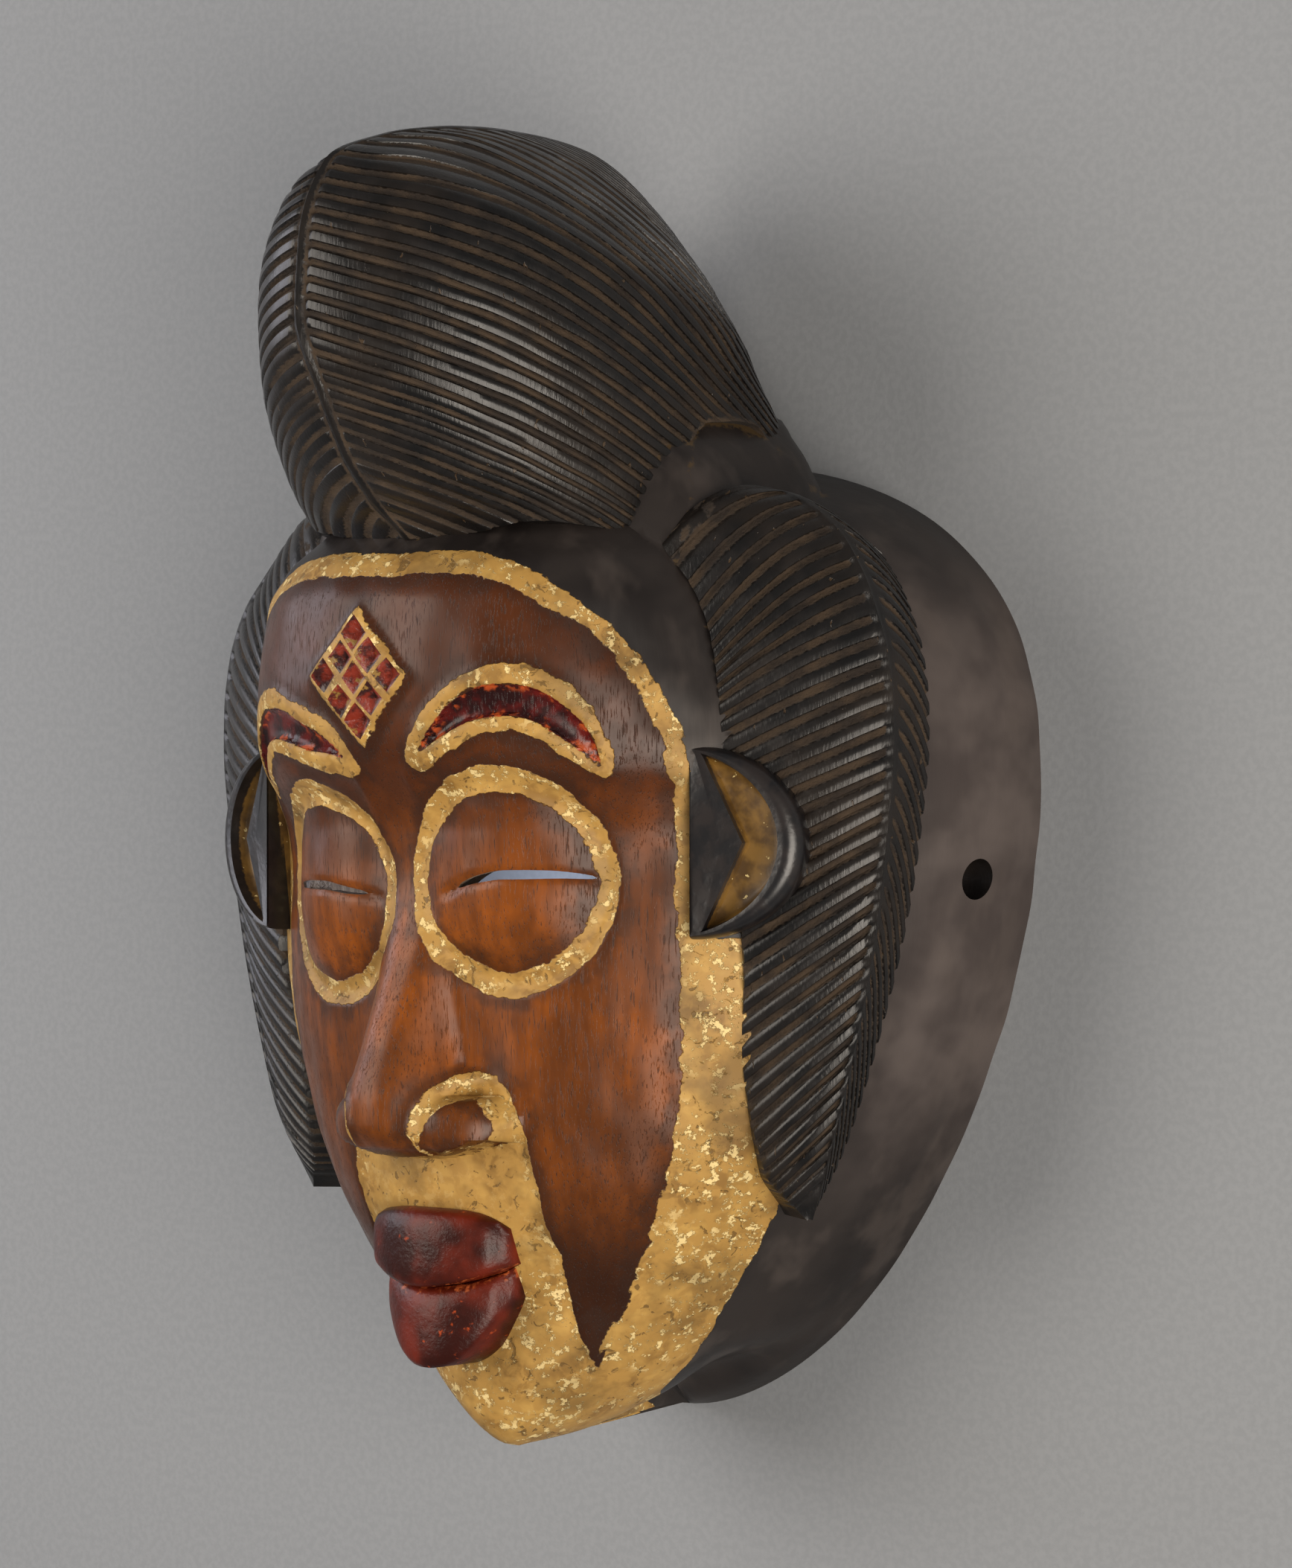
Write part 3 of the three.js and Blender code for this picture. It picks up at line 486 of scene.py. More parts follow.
# Depth (Z) and width (X) of the crest at a height, for a turn from the rib round to the back.
def crestOutline(height, turn, sink):
    front = crestFront(height) - crest["ribHeight"] - sink
    back, width = crestBack(height) + sink, crestHalfWidth(height) - sink
    power = 2 / np.where(np.cos(turn) > 0, crestKeen(height), crestSquare(height))
    x = width * signedPower(np.sin(turn), power)
    x = x + ribShift(height) * np.maximum(np.cos(turn), 0) ** 6
    return x, (front + back) / 2 + (front - back) / 2 * signedPower(np.cos(turn), power)


# Height of a lock at each turn, before the crest's own tilt is added.
def lockHeight(level, turn):
    start = min(level, crest["lastPlain"])
    reach = crestFront(start)
    height = np.full(turn.shape, float(start))
    for _ in range(5):  # how far back a point lies and how high settle together
        along = (reach - crestOutline(height, turn, 0)[1]) / reach
        height = start + lockLift(start) * liftAlong(along) - lockDroop(start) * droopAlong(along)
    share = max(level - crest["lastPlain"], 0) / (crest["lastLevel"] - crest["lastPlain"])
    return height + (crest["top"] - height) * share


# The crest's layers rise to the front and fall to the sides.
def crestY(height, x, z):
    return height + crest["rise"] * z - crest["fall"] * np.abs(x)


def aboveHem(y, z):
    return y - np.interp(z, hemPlace, hemHeight)


def makeCrest():
    dense = np.linspace(0, math.pi, 4000)
    x, z = crestOutline(np.full(4000, 88.0), dense, 0)  # the widest level, which sets how points are spaced
    length = np.concatenate([[0], np.cumsum(np.hypot(np.diff(x), np.diff(z)))])
    half = np.interp(spread([(0, 6, 0.8), (6, 140, 2.5), (140, length[-1], 4.5)]), length, dense)
    turn = np.concatenate([half, 2 * math.pi - half[-2:0:-1]])
    levels = spread([
        (crest["firstLevel"], crest["lowTop"], crest["lowPitch"]),
        (crest["lowTop"], crest["lastLevel"], crest["pitch"])])
    lines = [lockHeight(level, turn) for level in levels]
    rings, groove = [], []
    for lock in range(len(levels) - 1):
        gap = lines[lock + 1] - lines[lock]
        for share, depth in lockShape:
            height = lines[lock] + gap * share
            x, z = crestOutline(height, turn, 0)
            wander = edgeWander(lock, share, z + 200 * (x > 0), crest["seed"])  # each side runs its own way
            height = height + crest["wobble"] * wander * np.minimum(gap / 4, 1)
            fromRib = np.where(np.cos(turn) > 0, np.abs(x - ribShift(height)), farAway)
            clear = aboveHem(crestY(height, x, z), z)
            ease = np.where(z < crest["temple"], *crest["hemEase"])
            cut = smoothstep(fromRib, *crest["clearOfRib"]) * smoothstep(clear, 0, ease)
            beside = bump(fromRib - crest["besideRib"], crest["besideWidth"])
            rib = bump(fromRib, crest["ribWidth"]) - crest["besideDepth"] * beside
            deep = np.minimum(crest["grooveDepth"] * gap, crest["deepest"])
            x, z = crestOutline(height, turn, deep * depth * cut - crest["ribHeight"] * rib)
            rings.append(np.stack([x, crestY(height, x, z), z], 1))
            groove.append(np.maximum(depth * cut, crest["besideDust"] * beside))
    rings.append(rings[-1] + (np.array(crest["pole"]) - rings[-1]) * 0.85)  # most of the way to the pole
    groove.append(groove[-1] * 0)
    return ringStack("crest", np.array(rings), "hair", groove=groove)


hemWaves = {"height": 0.5, "length": 14, "seed": 8}


# Everything below the hem, with the slight waves of a hand-cut edge.
def makeBelowHem():
    z, y = np.concatenate([smoothLine(hemLine, per=6), [(-8, -60), (165, -60)]]).T
    rings = []
    for x in spread([(-90, -60, 30), (-60, 60, 4), (60, 90, 30)]):
        ring = np.stack([np.full(len(y), x), y, z], 1)
        waves = ripple(x, ring[:-2, 2], hemWaves["length"], hemWaves["seed"])
        ring[:-2, 1] += hemWaves["height"] * waves
        rings.append(ring)
    return ringStack("belowHem", np.array(rings), "hair")


# Smooth scalp that the crest stands on.
scalp = {"bottom": 55, "top": 104, "z": 47.5, "halfDepth": 42.5, "corners": 0.6}
scalpWidth = curveThrough([
    (55, 80), (62, 74), (70, 68.5), (79, 62.5), (85, 58.5), (91, 53), (94, 51), (98, 42), (104, 30),
])


def makeScalp():
    turn = np.linspace(0, 2 * math.pi, 96, endpoint=False)
    turn, y = np.meshgrid(turn, np.linspace(scalp["bottom"], scalp["top"], 22))
    x = scalpWidth(y) * signedPower(np.sin(turn), scalp["corners"])
    z = scalp["z"] + scalp["halfDepth"] * signedPower(np.cos(turn), scalp["corners"])
    return ringStack("scalp", np.stack([x, y, z], 2), "skin")


# Side locks: a lobe with a rib that curls over at the top, locks falling away from it to both edges.
sideHair = {
    "tip": -109, "top": 91, "locks": 37, "bulge": 2.5, "grooveDepth": 1.6, "ribHeight": 0.5, "backBulge": 1,
    "backGrooves": 0.8, "tipEase": 28, "topEase": 4, "wobble": 0.3, "buried": 8.5, "seed": 6,
    "groovesEnd": (0.93, 0.985), "ribWidth": 0.03, "backStart": (0.1, 0.2), "backFall": 1.4,
    "tuckedIn": 2, "shellFrom": -120, "shellTo": 55,
}
# The ridge by its height, and each edge's height by the ridge's level.
ridgeX = curveThrough([
    (-109, 86), (-92, 94), (-75, 99.6), (-43, 107.7), (-10, 113), (10, 114.9), (20, 114.7), (34, 112.6),
    (41, 110.2), (49, 106.5), (55.3, 102.2), (62.2, 96.6), (66.5, 91.9), (70.3, 86.5), (73, 80.9),
    (74.2, 75.3),
])
ridgeY = curveThrough([
    (-109, -109), (0, 0), (41, 41), (49, 49), (57, 55.3), (66, 62.2), (72, 66.5), (78.5, 70.3), (85, 73),
    (91, 74.2),
])
ridgeZ = curveThrough([(-109, 57), (-84, 61), (40, 61.5), (66, 59), (91, 62)])
frontY = curveThrough([
    (-109, -109), (-80, -98), (20, 2), (41.6, 21), (50, 26), (57, 30), (66, 37), (72, 42.5), (78.5, 49),
    (85, 56), (91, 62.5),
])
frontX = curveThrough([
    (-109, 85), (-97, 78), (-72, 76), (-42, 80), (17, 77.5), (28, 76.5), (38, 74.5), (44, 72), (50, 68.5),
    (54, 64.8), (59, 60), (63, 57.5),
])
frontZ = curveThrough([(-109, 58), (-97, 66), (-72, 72), (-42, 77), (17, 83), (59, 84), (63, 80)])
backY = curveThrough([
    (-109, -109), (-80, -99), (20, 4), (34, 20), (50, 36), (57, 42), (66, 47), (78.5, 53), (91, 58),
])
backZ = curveThrough([(-109, 55), (-92, 52), (-55, 48), (-20, 45), (30, 44), (75, 45)])
lockBow = curveThrough([(-60, 0.3), (0, 0.4), (20, 0.7), (41, 2), (63, 4), (91, 4.5)])


# One ring: from the front edge up to the ridge, down to the back edge, and home inside the shell.
def sideRing(level, lock, share, depth):
    ease = smoothstep(level, sideHair["tip"], sideHair["tip"] + sideHair["tipEase"])
    top = 1 - smoothstep(level, sideHair["top"] - sideHair["topEase"], sideHair["top"])
    y = ridgeY(level)
    ridge = np.array([ridgeX(y), y, ridgeZ(level)])
    y = frontY(level)
    front = np.array([frontX(y), y, frontZ(y)])
    y = backY(level)
    back = np.array([ridgeX(y) - sideHair["tuckedIn"], y, backZ(y)])
    u = spread([(0, 0.86, 0.075), (0.86, 1, 0.028)])[:, None]
    wander = edgeWander(lock, share, u[:, 0] * 30, sideHair["seed"])
    cut = (1 - smoothstep(u, *sideHair["groovesEnd"])) * ease * top
    rise = sideHair["bulge"] * 4 * u * (1 - u) * ease - sideHair["grooveDepth"] * depth * cut
    rise = rise + sideHair["ribHeight"] * bump(1 - u, sideHair["ribWidth"]) * ease
    near = front + (ridge - front) * u + rise * (0.7, 0, 0.7)  # swells forwards and outwards alike
    near[:, 1] += sideHair["wobble"] * wander * cut[:, 0] + 4 * lockBow(level) * u[:, 0] * (1 - u[:, 0])
    w = spread([(0.03, 0.15, 0.04), (0.15, 1, 0.12)])[:, None]
    into = smoothstep(w, *sideHair["backStart"])
    deep = into * sideHair["grooveDepth"] * sideHair["backGrooves"] * depth * top
    rise = sideHair["backBulge"] * 4 * w * (1 - w) - deep
    fall = np.concatenate([w, w ** sideHair["backFall"], w], 1)
    far = ridge + (back - ridge) * fall + rise * ease * (1, 0, 0)
    inner = []
    for p in (back, front):
        angle = math.atan2(p[0], p[2])
        height = np.clip(p[1], sideHair["shellFrom"], sideHair["shellTo"])
        radius = shellRadius(angle, height) - sideHair["buried"]
        inner.append([radius * math.sin(angle), p[1], radius * math.cos(angle)])
    groove = np.concatenate([depth * cut[:, 0], depth * into[:, 0] * ease * top, [0, 0]])
    return np.concatenate([near, far, inner]), groove


def makeSideHair():
    pitch = (sideHair["top"] - sideHair["tip"]) / sideHair["locks"]
    made = []
    for lock in range(sideHair["locks"]):
        for share, depth in lockShape:
            made.append(sideRing(sideHair["tip"] + (lock + share) * pitch, lock, share, depth))
    made.append(sideRing(sideHair["top"], sideHair["locks"], 0, 0))
    rings, groove = zip(*made)
    return ringStack("sideHair", np.array(rings), "hair", bothSides=True, groove=groove)


# Ears: a half-round plate with a rolled rim, a bowl and a pointed flap in front of it.
ear = {
    "front": (72.5, -14.5, 89), "lean": 20, "width": 29, "halfHeight": 24, "rim": 6.2, "rimAtFace": 1.3,
    "flap": 13.5, "flapSlope": 0.3,
    "rimRings": [  # how far in from the edge, and how far out
        (0.6, -16), (0, -4.2), (0.2, -2.9), (0.9, -1.6), (2.1, -0.6), (3.6, 0), (4.9, -0.1), (8, -0.6),
    ],
    "rimHubs": [(8, 0, -16), (8, 0, -0.6)],
    "bowlRings": [  # how far out, and how wide
        (5, 1.02), (0.6, 1.01), (-1, 0.99), (-2.6, 0.965), (-4.2, 0.915), (-5.1, 0.85), (-5.5, 0.7),
    ],
    "bowlHubs": [(19.5, 0, 5), (20, 0, -5.5)], "bowlCentre": (19.5, 0),
}
earLean = math.radians(ear["lean"])


# From ear sizes (away from the face, up, out) to the mask's own.
def earPlace(p):
    p = np.array(p, float)
    across = np.array([math.cos(earLean), 0, -math.sin(earLean)])
    out = np.array([math.sin(earLean), 0, math.cos(earLean)])
    return np.array(ear["front"]) + p[..., :1] * across + p[..., 1:2] * (0, 1, 0) + p[..., 2:] * out


def earCurve(turn, inset):
    return np.stack([(ear["width"] - inset) * np.cos(turn), (ear["halfHeight"] - inset) * np.sin(turn)], 1)


def earBody(name, rings, hubs):
    return ringStack(name, earPlace(rings), "ear", bothSides=True, hubs=earPlace(hubs))


def makeEars():
    turn = np.radians(np.linspace(-90, 90, 65))
    thin = 0.25 + 0.75 * np.cos(turn)  # the rim thins out towards the face
    rings = []
    for inset, out in ear["rimRings"]:
        rings.append(np.column_stack([earCurve(turn, inset * thin), np.full(len(turn), out)]))
    return earBody("ears", rings, ear["rimHubs"])


def makeEarBowls():
    turn = np.radians(np.linspace(-84, 84, 57))
    curve = earCurve(turn, ear["rimAtFace"] + (ear["rim"] - ear["rimAtFace"]) * np.cos(turn))
    flap = [curve[-1] + (np.array([ear["flap"], 0]) - curve[-1]) * t for t in (0.2, 0.4, 0.6, 0.8, 1)]
    outline = np.concatenate([curve, flap, [p * (1, -1) for p in flap[-2::-1]]])
    onFlap = np.arange(len(outline)) >= len(curve)
    centre = np.array(ear["bowlCentre"])
    rings = []
    for out, grow in ear["bowlRings"]:
        shrink = np.where(onFlap, 1 - (1 - grow) * ear["flapSlope"], grow)[:, None]
        rings.append(np.column_stack([centre + (outline - centre) * shrink, np.full(len(outline), out)]))
    return earBody("earBowls", rings, ear["bowlHubs"])


# Lips: two full pads that meet in a seam, the lower one narrower and set back.
lips = {
    "seam": -127.4, "seamRise": 6.2, "seamReach": 22.8, "gap": 0.25, "round": 3.2, "seamRound": 1.7,
    "cornerRound": 2.6, "cornerFrom": 0.82, "seamEase": (0.4, 0.7), "x": -2.4, "least": 0.4, "buried": 4,
    "upper": {"halfWidth": 22.8, "edge": -107.6, "bend": -4.5, "power": 4, "height": 107.8, "corner": 100},
    "lower": {"halfWidth": 21, "edge": -148.2, "bend": 18.2, "power": 2.3, "height": 104.6, "corner": 95.4},
}


def seamY(x):
    return lips["seam"] + lips["seamRise"] * (x / lips["seamReach"]) ** 2


def makeLip(name):
    facts = lips[name]
    u, v = np.linspace(-1, 1, 50), np.linspace(0, 1, 22)[:, None]
    x = np.broadcast_to(u * facts["halfWidth"], (len(v), len(u)))
    outer = facts["edge"] + facts["bend"] * np.abs(u) ** facts["power"]
    y = outer + (seamY(x) - (lips["gap"] if name == "lower" else 0) - outer) * v
    middle = facts["height"] + (facts["corner"] - facts["height"]) * u**2
    roundOff = lips["round"] * (1 - np.sqrt(np.maximum(1 - np.abs(2 * v - 1) ** 3, 0)))
    edge = lips["cornerRound"] * smoothstep(np.abs(u), lips["cornerFrom"], 1)
    seamSide = smoothstep(v if name == "upper" else 1 - v, *lips["seamEase"])
    roundOff = roundOff * (1 - seamSide * (1 - lips["seamRound"] / lips["round"]))
    x = x + lips["x"]
    face = faceZ(x, y)
    over = np.stack([x, y, np.maximum(middle - roundOff - edge, face + lips["least"])], 2)
    under = np.stack([x, y, face - lips["buried"]], 2)
    rings = np.concatenate([over, under[:, ::-1]], 1)
    rows, sides = rings.shape[:2]
    a = np.arange(sides // 2 - 1)
    end = np.stack([a, a + 1, sides - 2 - a, sides - 1 - a], 1)  # closes the first and the last ring
    quads = np.concatenate([ringQuads(rows, sides), end[:, ::-1], end + (rows - 1) * sides])
    return makeBody(name, rings.reshape(-1, 3), quads, np.empty((0, 3), int), "lip")


# Hollow behind the face, a wall's thickness inside it.
hollow = {
    "wall": 11, "top": 58, "bottom": -152, "least": 3, "belowRim": 4,
    "adzeMarks": 0.5, "markSize": 13, "markRadius": 100, "markEase": (8, 30), "seed": 21,
}


def makeHollow():
    turn = np.sin(np.radians(np.linspace(-90, 90, 31)))
    rows = np.where(turn > 0, hollow["top"] * turn, -hollow["bottom"] * turn)
    angle, y = np.meshgrid(np.radians(np.linspace(-90, 90, 45)), rows)
    reach = np.where(y > 0, y / hollow["top"], y / hollow["bottom"])
    radius = np.maximum(shellRadius(angle, y) - hollow["wall"], hollow["least"])
    radius = radius * np.sqrt(np.maximum(1 - reach**4, 0.02))  # rounds off towards forehead and chin
    marks = ripple(angle * hollow["markRadius"], y, hollow["markSize"], hollow["seed"])
    radius = radius + hollow["adzeMarks"] * marks * smoothstep(radius, *hollow["markEase"])
    arc = np.stack([radius * np.sin(angle), y, radius * np.cos(angle)], 2)
    below = arc[:, [0, -1]].copy()
    below[..., 2] = -hollow["belowRim"]
    rings = np.concatenate([below[:, :1], arc, below[:, 1:]], 1)
    return ringStack("hollow", rings, "back")


# A slit: arched over the eye, and flared behind the lid.
def makeSlit(name, side):
    u = np.linspace(0, 1, 34)
    x = slit["from"] + (slit["to"] - slit["from"]) * u
    line = slitLine(x) - farSlitDrop(x) * (side < 0)
    half = slit["height"] / 2 * np.sin(np.pi * u) ** slit["ends"]
    below, above = (np.stack([x * side, line + each], 1) for each in (-half, half))
    outline = np.concatenate([below, above[-2:0:-1]])
    middle = outline.mean(0)
    behind = middle + (outline - middle) * slit["flare"]
    lid, plain = carveFace(*outline.T, faceZ(*outline.T)), faceZ(*behind.T)
    rings = [
        (outline, lid + slit["above"]), (outline, lid - slit["lidCut"]),
        (behind, plain - slit["behindFace"]), (behind, plain - slit["through"]),
    ]
    return ringStack(name, np.array([np.column_stack(ring) for ring in rings]), "back")


cordHole = {"radius": 5.2, "y": -24, "z": 22, "from": 91, "to": 132}


def makeCordHoles():
    turn = np.linspace(0, 2 * math.pi, 40, endpoint=False)
    y = cordHole["y"] + cordHole["radius"] * np.cos(turn)
    z = cordHole["z"] + cordHole["radius"] * np.sin(turn)
    rings = [np.stack([np.full(len(turn), cordHole[end]), y, z], 1) for end in ("from", "to")]
    # The bores take the black-stained finish: painted shade that keeps the holes dark inside.
    return ringStack("cordHoles", np.array(rings), "hair", bothSides=True)


# Adds a node with its settings, fills or links its inputs, and returns what it gives.
def addNode(tree, kind, inputs=None, **settings):
    node = tree.nodes.new(kind)
    for setting, value in settings.items():
        setattr(node, setting, value)
    for name, value in (inputs or {}).items():
        socket = next(each for each in node.inputs if each.enabled and name in (each.name, each.identifier))
        if isinstance(value, bpy.types.NodeSocket):
            tree.links.new(value, socket)
        else:
            socket.default_value = value
    return next((each for each in node.outputs if each.enabled), None)


# Small pyramid cuts, one at each point of a mesh and square to its "facing".
def makeChipTree():
    tree = bpy.data.node_groups.new("chipCuts", "GeometryNodeTree")
    tree.interface.new_socket("Geometry", in_out="OUTPUT", socket_type="NodeSocketGeometry")
    kinds = {"Geometry": "Geometry", "Half width": "Float", "Half height": "Float", "Depth": "Float",
             "Stand above": "Float", "Unevenness": "Float", "Seed": "Int", "Finish": "Material"}
    for name, kind in kinds.items():
        tree.interface.new_socket(name, in_out="INPUT", socket_type="NodeSocket" + kind)
    given = tree.nodes.new("NodeGroupInput").outputs
    tall = addNode(tree, "ShaderNodeMath", {"Value": given["Depth"], "Value_001": given["Stand above"]})
    wider = addNode(tree, "ShaderNodeMath", {"Value": tall, "Value_001": given["Depth"]}, operation="DIVIDE")
    size = addNode(tree, "ShaderNodeCombineXYZ", {"X": given["Half width"], "Y": given["Half height"]})
    size = addNode(tree, "ShaderNodeVectorMath", {"Vector": size, "Scale": wider}, operation="SCALE")
    upright = addNode(tree, "ShaderNodeCombineXYZ", {"Z": tall})
    size = addNode(tree, "ShaderNodeVectorMath", {"Vector": size, "Vector_001": upright}, operation="ADD")
    low, high = (addNode(tree, "ShaderNodeMath", {"Value": 1.0, "Value_001": given["Unevenness"]},
                         operation=each) for each in ("SUBTRACT", "ADD"))
    uneven = addNode(tree, "FunctionNodeRandomValue", {"Min": low, "Max": high, "Seed": given["Seed"]},
                     data_type="FLOAT")
    size = addNode(tree, "ShaderNodeVectorMath", {"Vector": size, "Scale": uneven}, operation="SCALE")
    cone = addNode(tree, "GeometryNodeMeshCone", {
        "Vertices": 4, "Radius Top": 1.0, "Radius Bottom": 0.0, "Depth": 1.0}, fill_type="NGON")
    facing = addNode(tree, "GeometryNodeInputNamedAttribute", {"Name": "facing"}, data_type="FLOAT_VECTOR")
    turned = addNode(tree, "FunctionNodeAlignRotationToVector", {"Vector": facing}, axis="Z")
    down = addNode(tree, "ShaderNodeMath", {"Value": 0.0, "Value_001": given["Depth"]}, operation="SUBTRACT")
    down = addNode(tree, "ShaderNodeVectorMath", {"Vector": facing, "Scale": down}, operation="SCALE")
    points = addNode(tree, "GeometryNodeSetPosition", {"Geometry": given["Geometry"], "Offset": down})
    cuts = addNode(tree, "GeometryNodeInstanceOnPoints", {
        "Points": points, "Instance": cone, "Rotation": turned, "Scale": size})
    cuts = addNode(tree, "GeometryNodeRealizeInstances", {"Geometry": cuts})
    cuts = addNode(tree, "GeometryNodeSetMaterial", {"Geometry": cuts, "Material": given["Finish"]})
    addNode(tree, "NodeGroupOutput", {"Geometry": cuts})
    return tree


# The plain mesh that an object's modifiers give. The object itself is removed.
def finishedMesh(body):
    mesh = bpy.data.meshes.new_from_object(body.evaluated_get(bpy.context.evaluated_depsgraph_get()))
    bpy.data.objects.remove(body)
    return mesh


def makeChips(name, places, facings, sizes, finish):
    mesh = bpy.data.meshes.new(name)
    mesh.from_pydata(toMetres(places), [], [])
    writeAttribute(mesh, "facing", facings, "FLOAT_VECTOR", "vector")
    body = addObject(name, mesh)
    chip = body.modifiers.new("chipCuts", "NODES")
    chip.node_group = chipTree
    values = {**sizes, "Finish": materialOf(finish)}
    for socket in chipTree.interface.items_tree:
        if socket.name in values:
            chip[socket.identifier] = values[socket.name]
    return bodyFrom(name, finishedMesh(body), finish)


# Rows of chip-cut cells in the diamond on the forehead.
def makeDiamondCells():
    cells, width, height = diamond["cells"], diamond["halfWidth"], diamond["halfHeight"]
    steps = (np.arange(cells) - (cells - 1) / 2) * 2 / cells * diamond["fill"]
    p, q = (each.ravel() for each in np.meshgrid(steps, steps))
    rng = np.random.default_rng(diamond["seed"])
    x = diamond["x"] + width * (p + q) / 2 + rng.uniform(-1, 1, p.shape) * diamond["jitter"]
    y = diamond["y"] + height * (p - q) / 2 + rng.uniform(-1, 1, p.shape) * diamond["jitter"]
    z = faceZ(x, y) + diamond["rise"]
    across, up = faceZ(x - 2, y) - faceZ(x + 2, y), faceZ(x, y - 2) - faceZ(x, y + 2)
    facing = np.stack([across, up, z * 0 + 4], 1)
    facing /= np.linalg.norm(facing, axis=1)[:, None]
    reach = diamond["fill"] / cells - diamond["bar"] / (width + height) * 1.4 / 2  # bars run slantwise
    sizes = {"Half width": width * reach, "Half height": height * reach, "Depth": diamond["depth"],
             "Stand above": diamond["standAbove"]}
    sizes = {name: value * 0.001 for name, value in sizes.items()}
    sizes.update({"Unevenness": diamond["unevenness"], "Seed": diamond["cutSeed"]})
    return makeChips("diamondCells", np.stack([x, y, z], 1), facing, sizes, "cell")


# Joins and cuts the bodies and returns the finished mesh.
def carve(base, steps):
    for operation, tool in steps:
        cut = base.modifiers.new(tool.name, "BOOLEAN")
        cut.operation, cut.solver, cut.object = operation, "MANIFOLD", tool
    mesh = finishedMesh(base)
    for _, tool in steps:
        bpy.data.objects.remove(tool)
    return mesh


chipTree = makeChipTree()
joined = [makeShell(), makeScalp(), makeSideHair(), makeEars(), makeLip("upper"), makeLip("lower")]
cutOut = [makeHollow(), makeEarBowls(), makeSlit("nearSlit", 1), makeSlit("farSlit", -1), makeCordHoles(),
          makeDiamondCells()]
steps = [("DIFFERENCE", makeBelowHem()), *(("UNION", body) for body in joined)]
steps += [("DIFFERENCE", body) for body in cutOut]
print("bodies made")
maskMesh = carve(makeCrest(), steps)
maskMesh.name = "okuyiMask"
triangles = sum(len(polygon.vertices) - 2 for polygon in maskMesh.polygons)
print("carved", len(maskMesh.vertices), "points", triangles, "triangles")


# What each point of the surface says about its paint, dust and wear, for the materials.
def readMesh(mesh):
    place, normal = np.empty((2, len(mesh.vertices), 3), np.float32)
    mesh.vertices.foreach_get("co", place.ravel())
    mesh.vertex_normals.foreach_get("vector", normal.ravel())
    edges = np.empty((len(mesh.edges), 2), np.int32)
    mesh.edges.foreach_get("vertices", edges.ravel())
    return place * 1000 - (0, baseLine, 0), normal, edges


def spreadOver(edges, values, rounds):
    for _ in range(rounds):
        total, count = values.copy(), np.ones(len(values))
        for a, b in (edges.T, edges.T[::-1]):
            total += np.bincount(a, values[b], len(values))
            count += np.bincount(a, minlength=len(values))
        values = total / count
    return values


# How the surface bends at each point, per millimetre: above zero on ridges, below in hollows.
def bending(place, normal, edges):
    total, count = np.zeros(len(place)), np.zeros(len(place))
    for a, b in (edges.T, edges.T[::-1]):
        step = place[b] - place[a]
        fall = -np.einsum("ij,ij->i", step, normal[a]) / np.maximum(np.einsum("ij,ij->i", step, step), 0.02)
        total += np.bincount(a, fall, len(place))
        count += np.bincount(a, minlength=len(place))
    return total / np.maximum(count, 1)


# Where the face's paint ends towards the back: height on the mask, and how far out of it.
jawEdge = [
    (-166, 17), (-163, 22), (-160, 36), (-157, 46), (-146, 46), (-130, 48), (-110, 50), (-90, 54), (-50, 60),
]
border = {
    "jawTop": -40, "aboveJaw": 3, "underWing": 0.2, "sharpest": 2,
    "lipHalfWidth": 28, "lipTop": -92, "lipBottom": -118,  # the upper lip, between nose and mouth
    "hemBack": 22, "hemFront": 82, "hemHalfWidth": 76, "hemDust": 1.1,
}


def writeValues(mesh):
    place, normal, edges = readMesh(mesh)
    x, y, z = place.T
    side = np.abs(x)
    jaw = z - np.interp(y, *np.array(jawEdge).T)
    jaw = jaw + border["aboveJaw"] * np.maximum(y - border["jawTop"], 0)
    face = np.minimum(insideBy(side, y, paint["face"]), jaw)
    brow, browRed = (insideBy(*browPlace(x, y), paint[name]) for name in ("brow", "browRed"))
    within, share = eyeRing(x, y)
    wing = np.minimum(insideBy(side, y, paint["wing"]), y - noseBottom(x) + border["underWing"])
    ground = np.minimum(-insideBy(side, y, paint["wood"]), -wing)
    gold = np.maximum.reduce([ground, within, np.minimum(brow, -browRed), insideDiamond(x, y)])
    bend = np.clip(bending(place, normal, edges), -border["sharpest"], border["sharpest"])
    ex, ey, ez = side - ear["front"][0], y - ear["front"][1], z - ear["front"][2]
    out = ex * math.sin(earLean) + ez * math.cos(earLean)
    across = ex * math.cos(earLean) - ez * math.sin(earLean)
    inRim = ear["width"] - np.hypot(across, ey * ear["width"] / ear["halfHeight"])
    beside = border["lipHalfWidth"] - side
    muzzle = np.minimum.reduce([beside, border["lipTop"] - y, y - border["lipBottom"]])
    values = {"face": face, "gold": gold, "red": browRed, "bend": spreadOver(edges, bend, 1),
              "earDepth": np.minimum(-out, inRim), "seam": y - seamY(x - lips["x"]), "muzzle": muzzle}
    for name, value in values.items():
        writeAttribute(mesh, name, value)
    held = np.empty(len(mesh.vertices), np.float32)
    mesh.attributes["groove"].data.foreach_get("value", held)
    known = (held > 0.5).astype(float)
    share = spreadOver(edges, known, 2)
    near = spreadOver(edges, np.where(known > 0, held - 1, 0), 2) / np.maximum(share, 1e-3)
    atHem = (z > border["hemBack"]) & (z < border["hemFront"]) & (side < border["hemHalfWidth"])
    fromHem = np.where(atHem, aboveHem(y, z), farAway)
    groove = np.maximum(np.where(known > 0, held - 1, near), bump(fromHem, border["hemDust"]))
    writeAttribute(mesh, "groove", groove)


writeValues(maskMesh)
maskMesh.shade_smooth()
maskMesh.set_sharp_from_angle(angle=math.radians(48))  # keeps the edges of the cuts crisp
mask = addObject("okuyiMask", maskMesh)
print("surface values written")


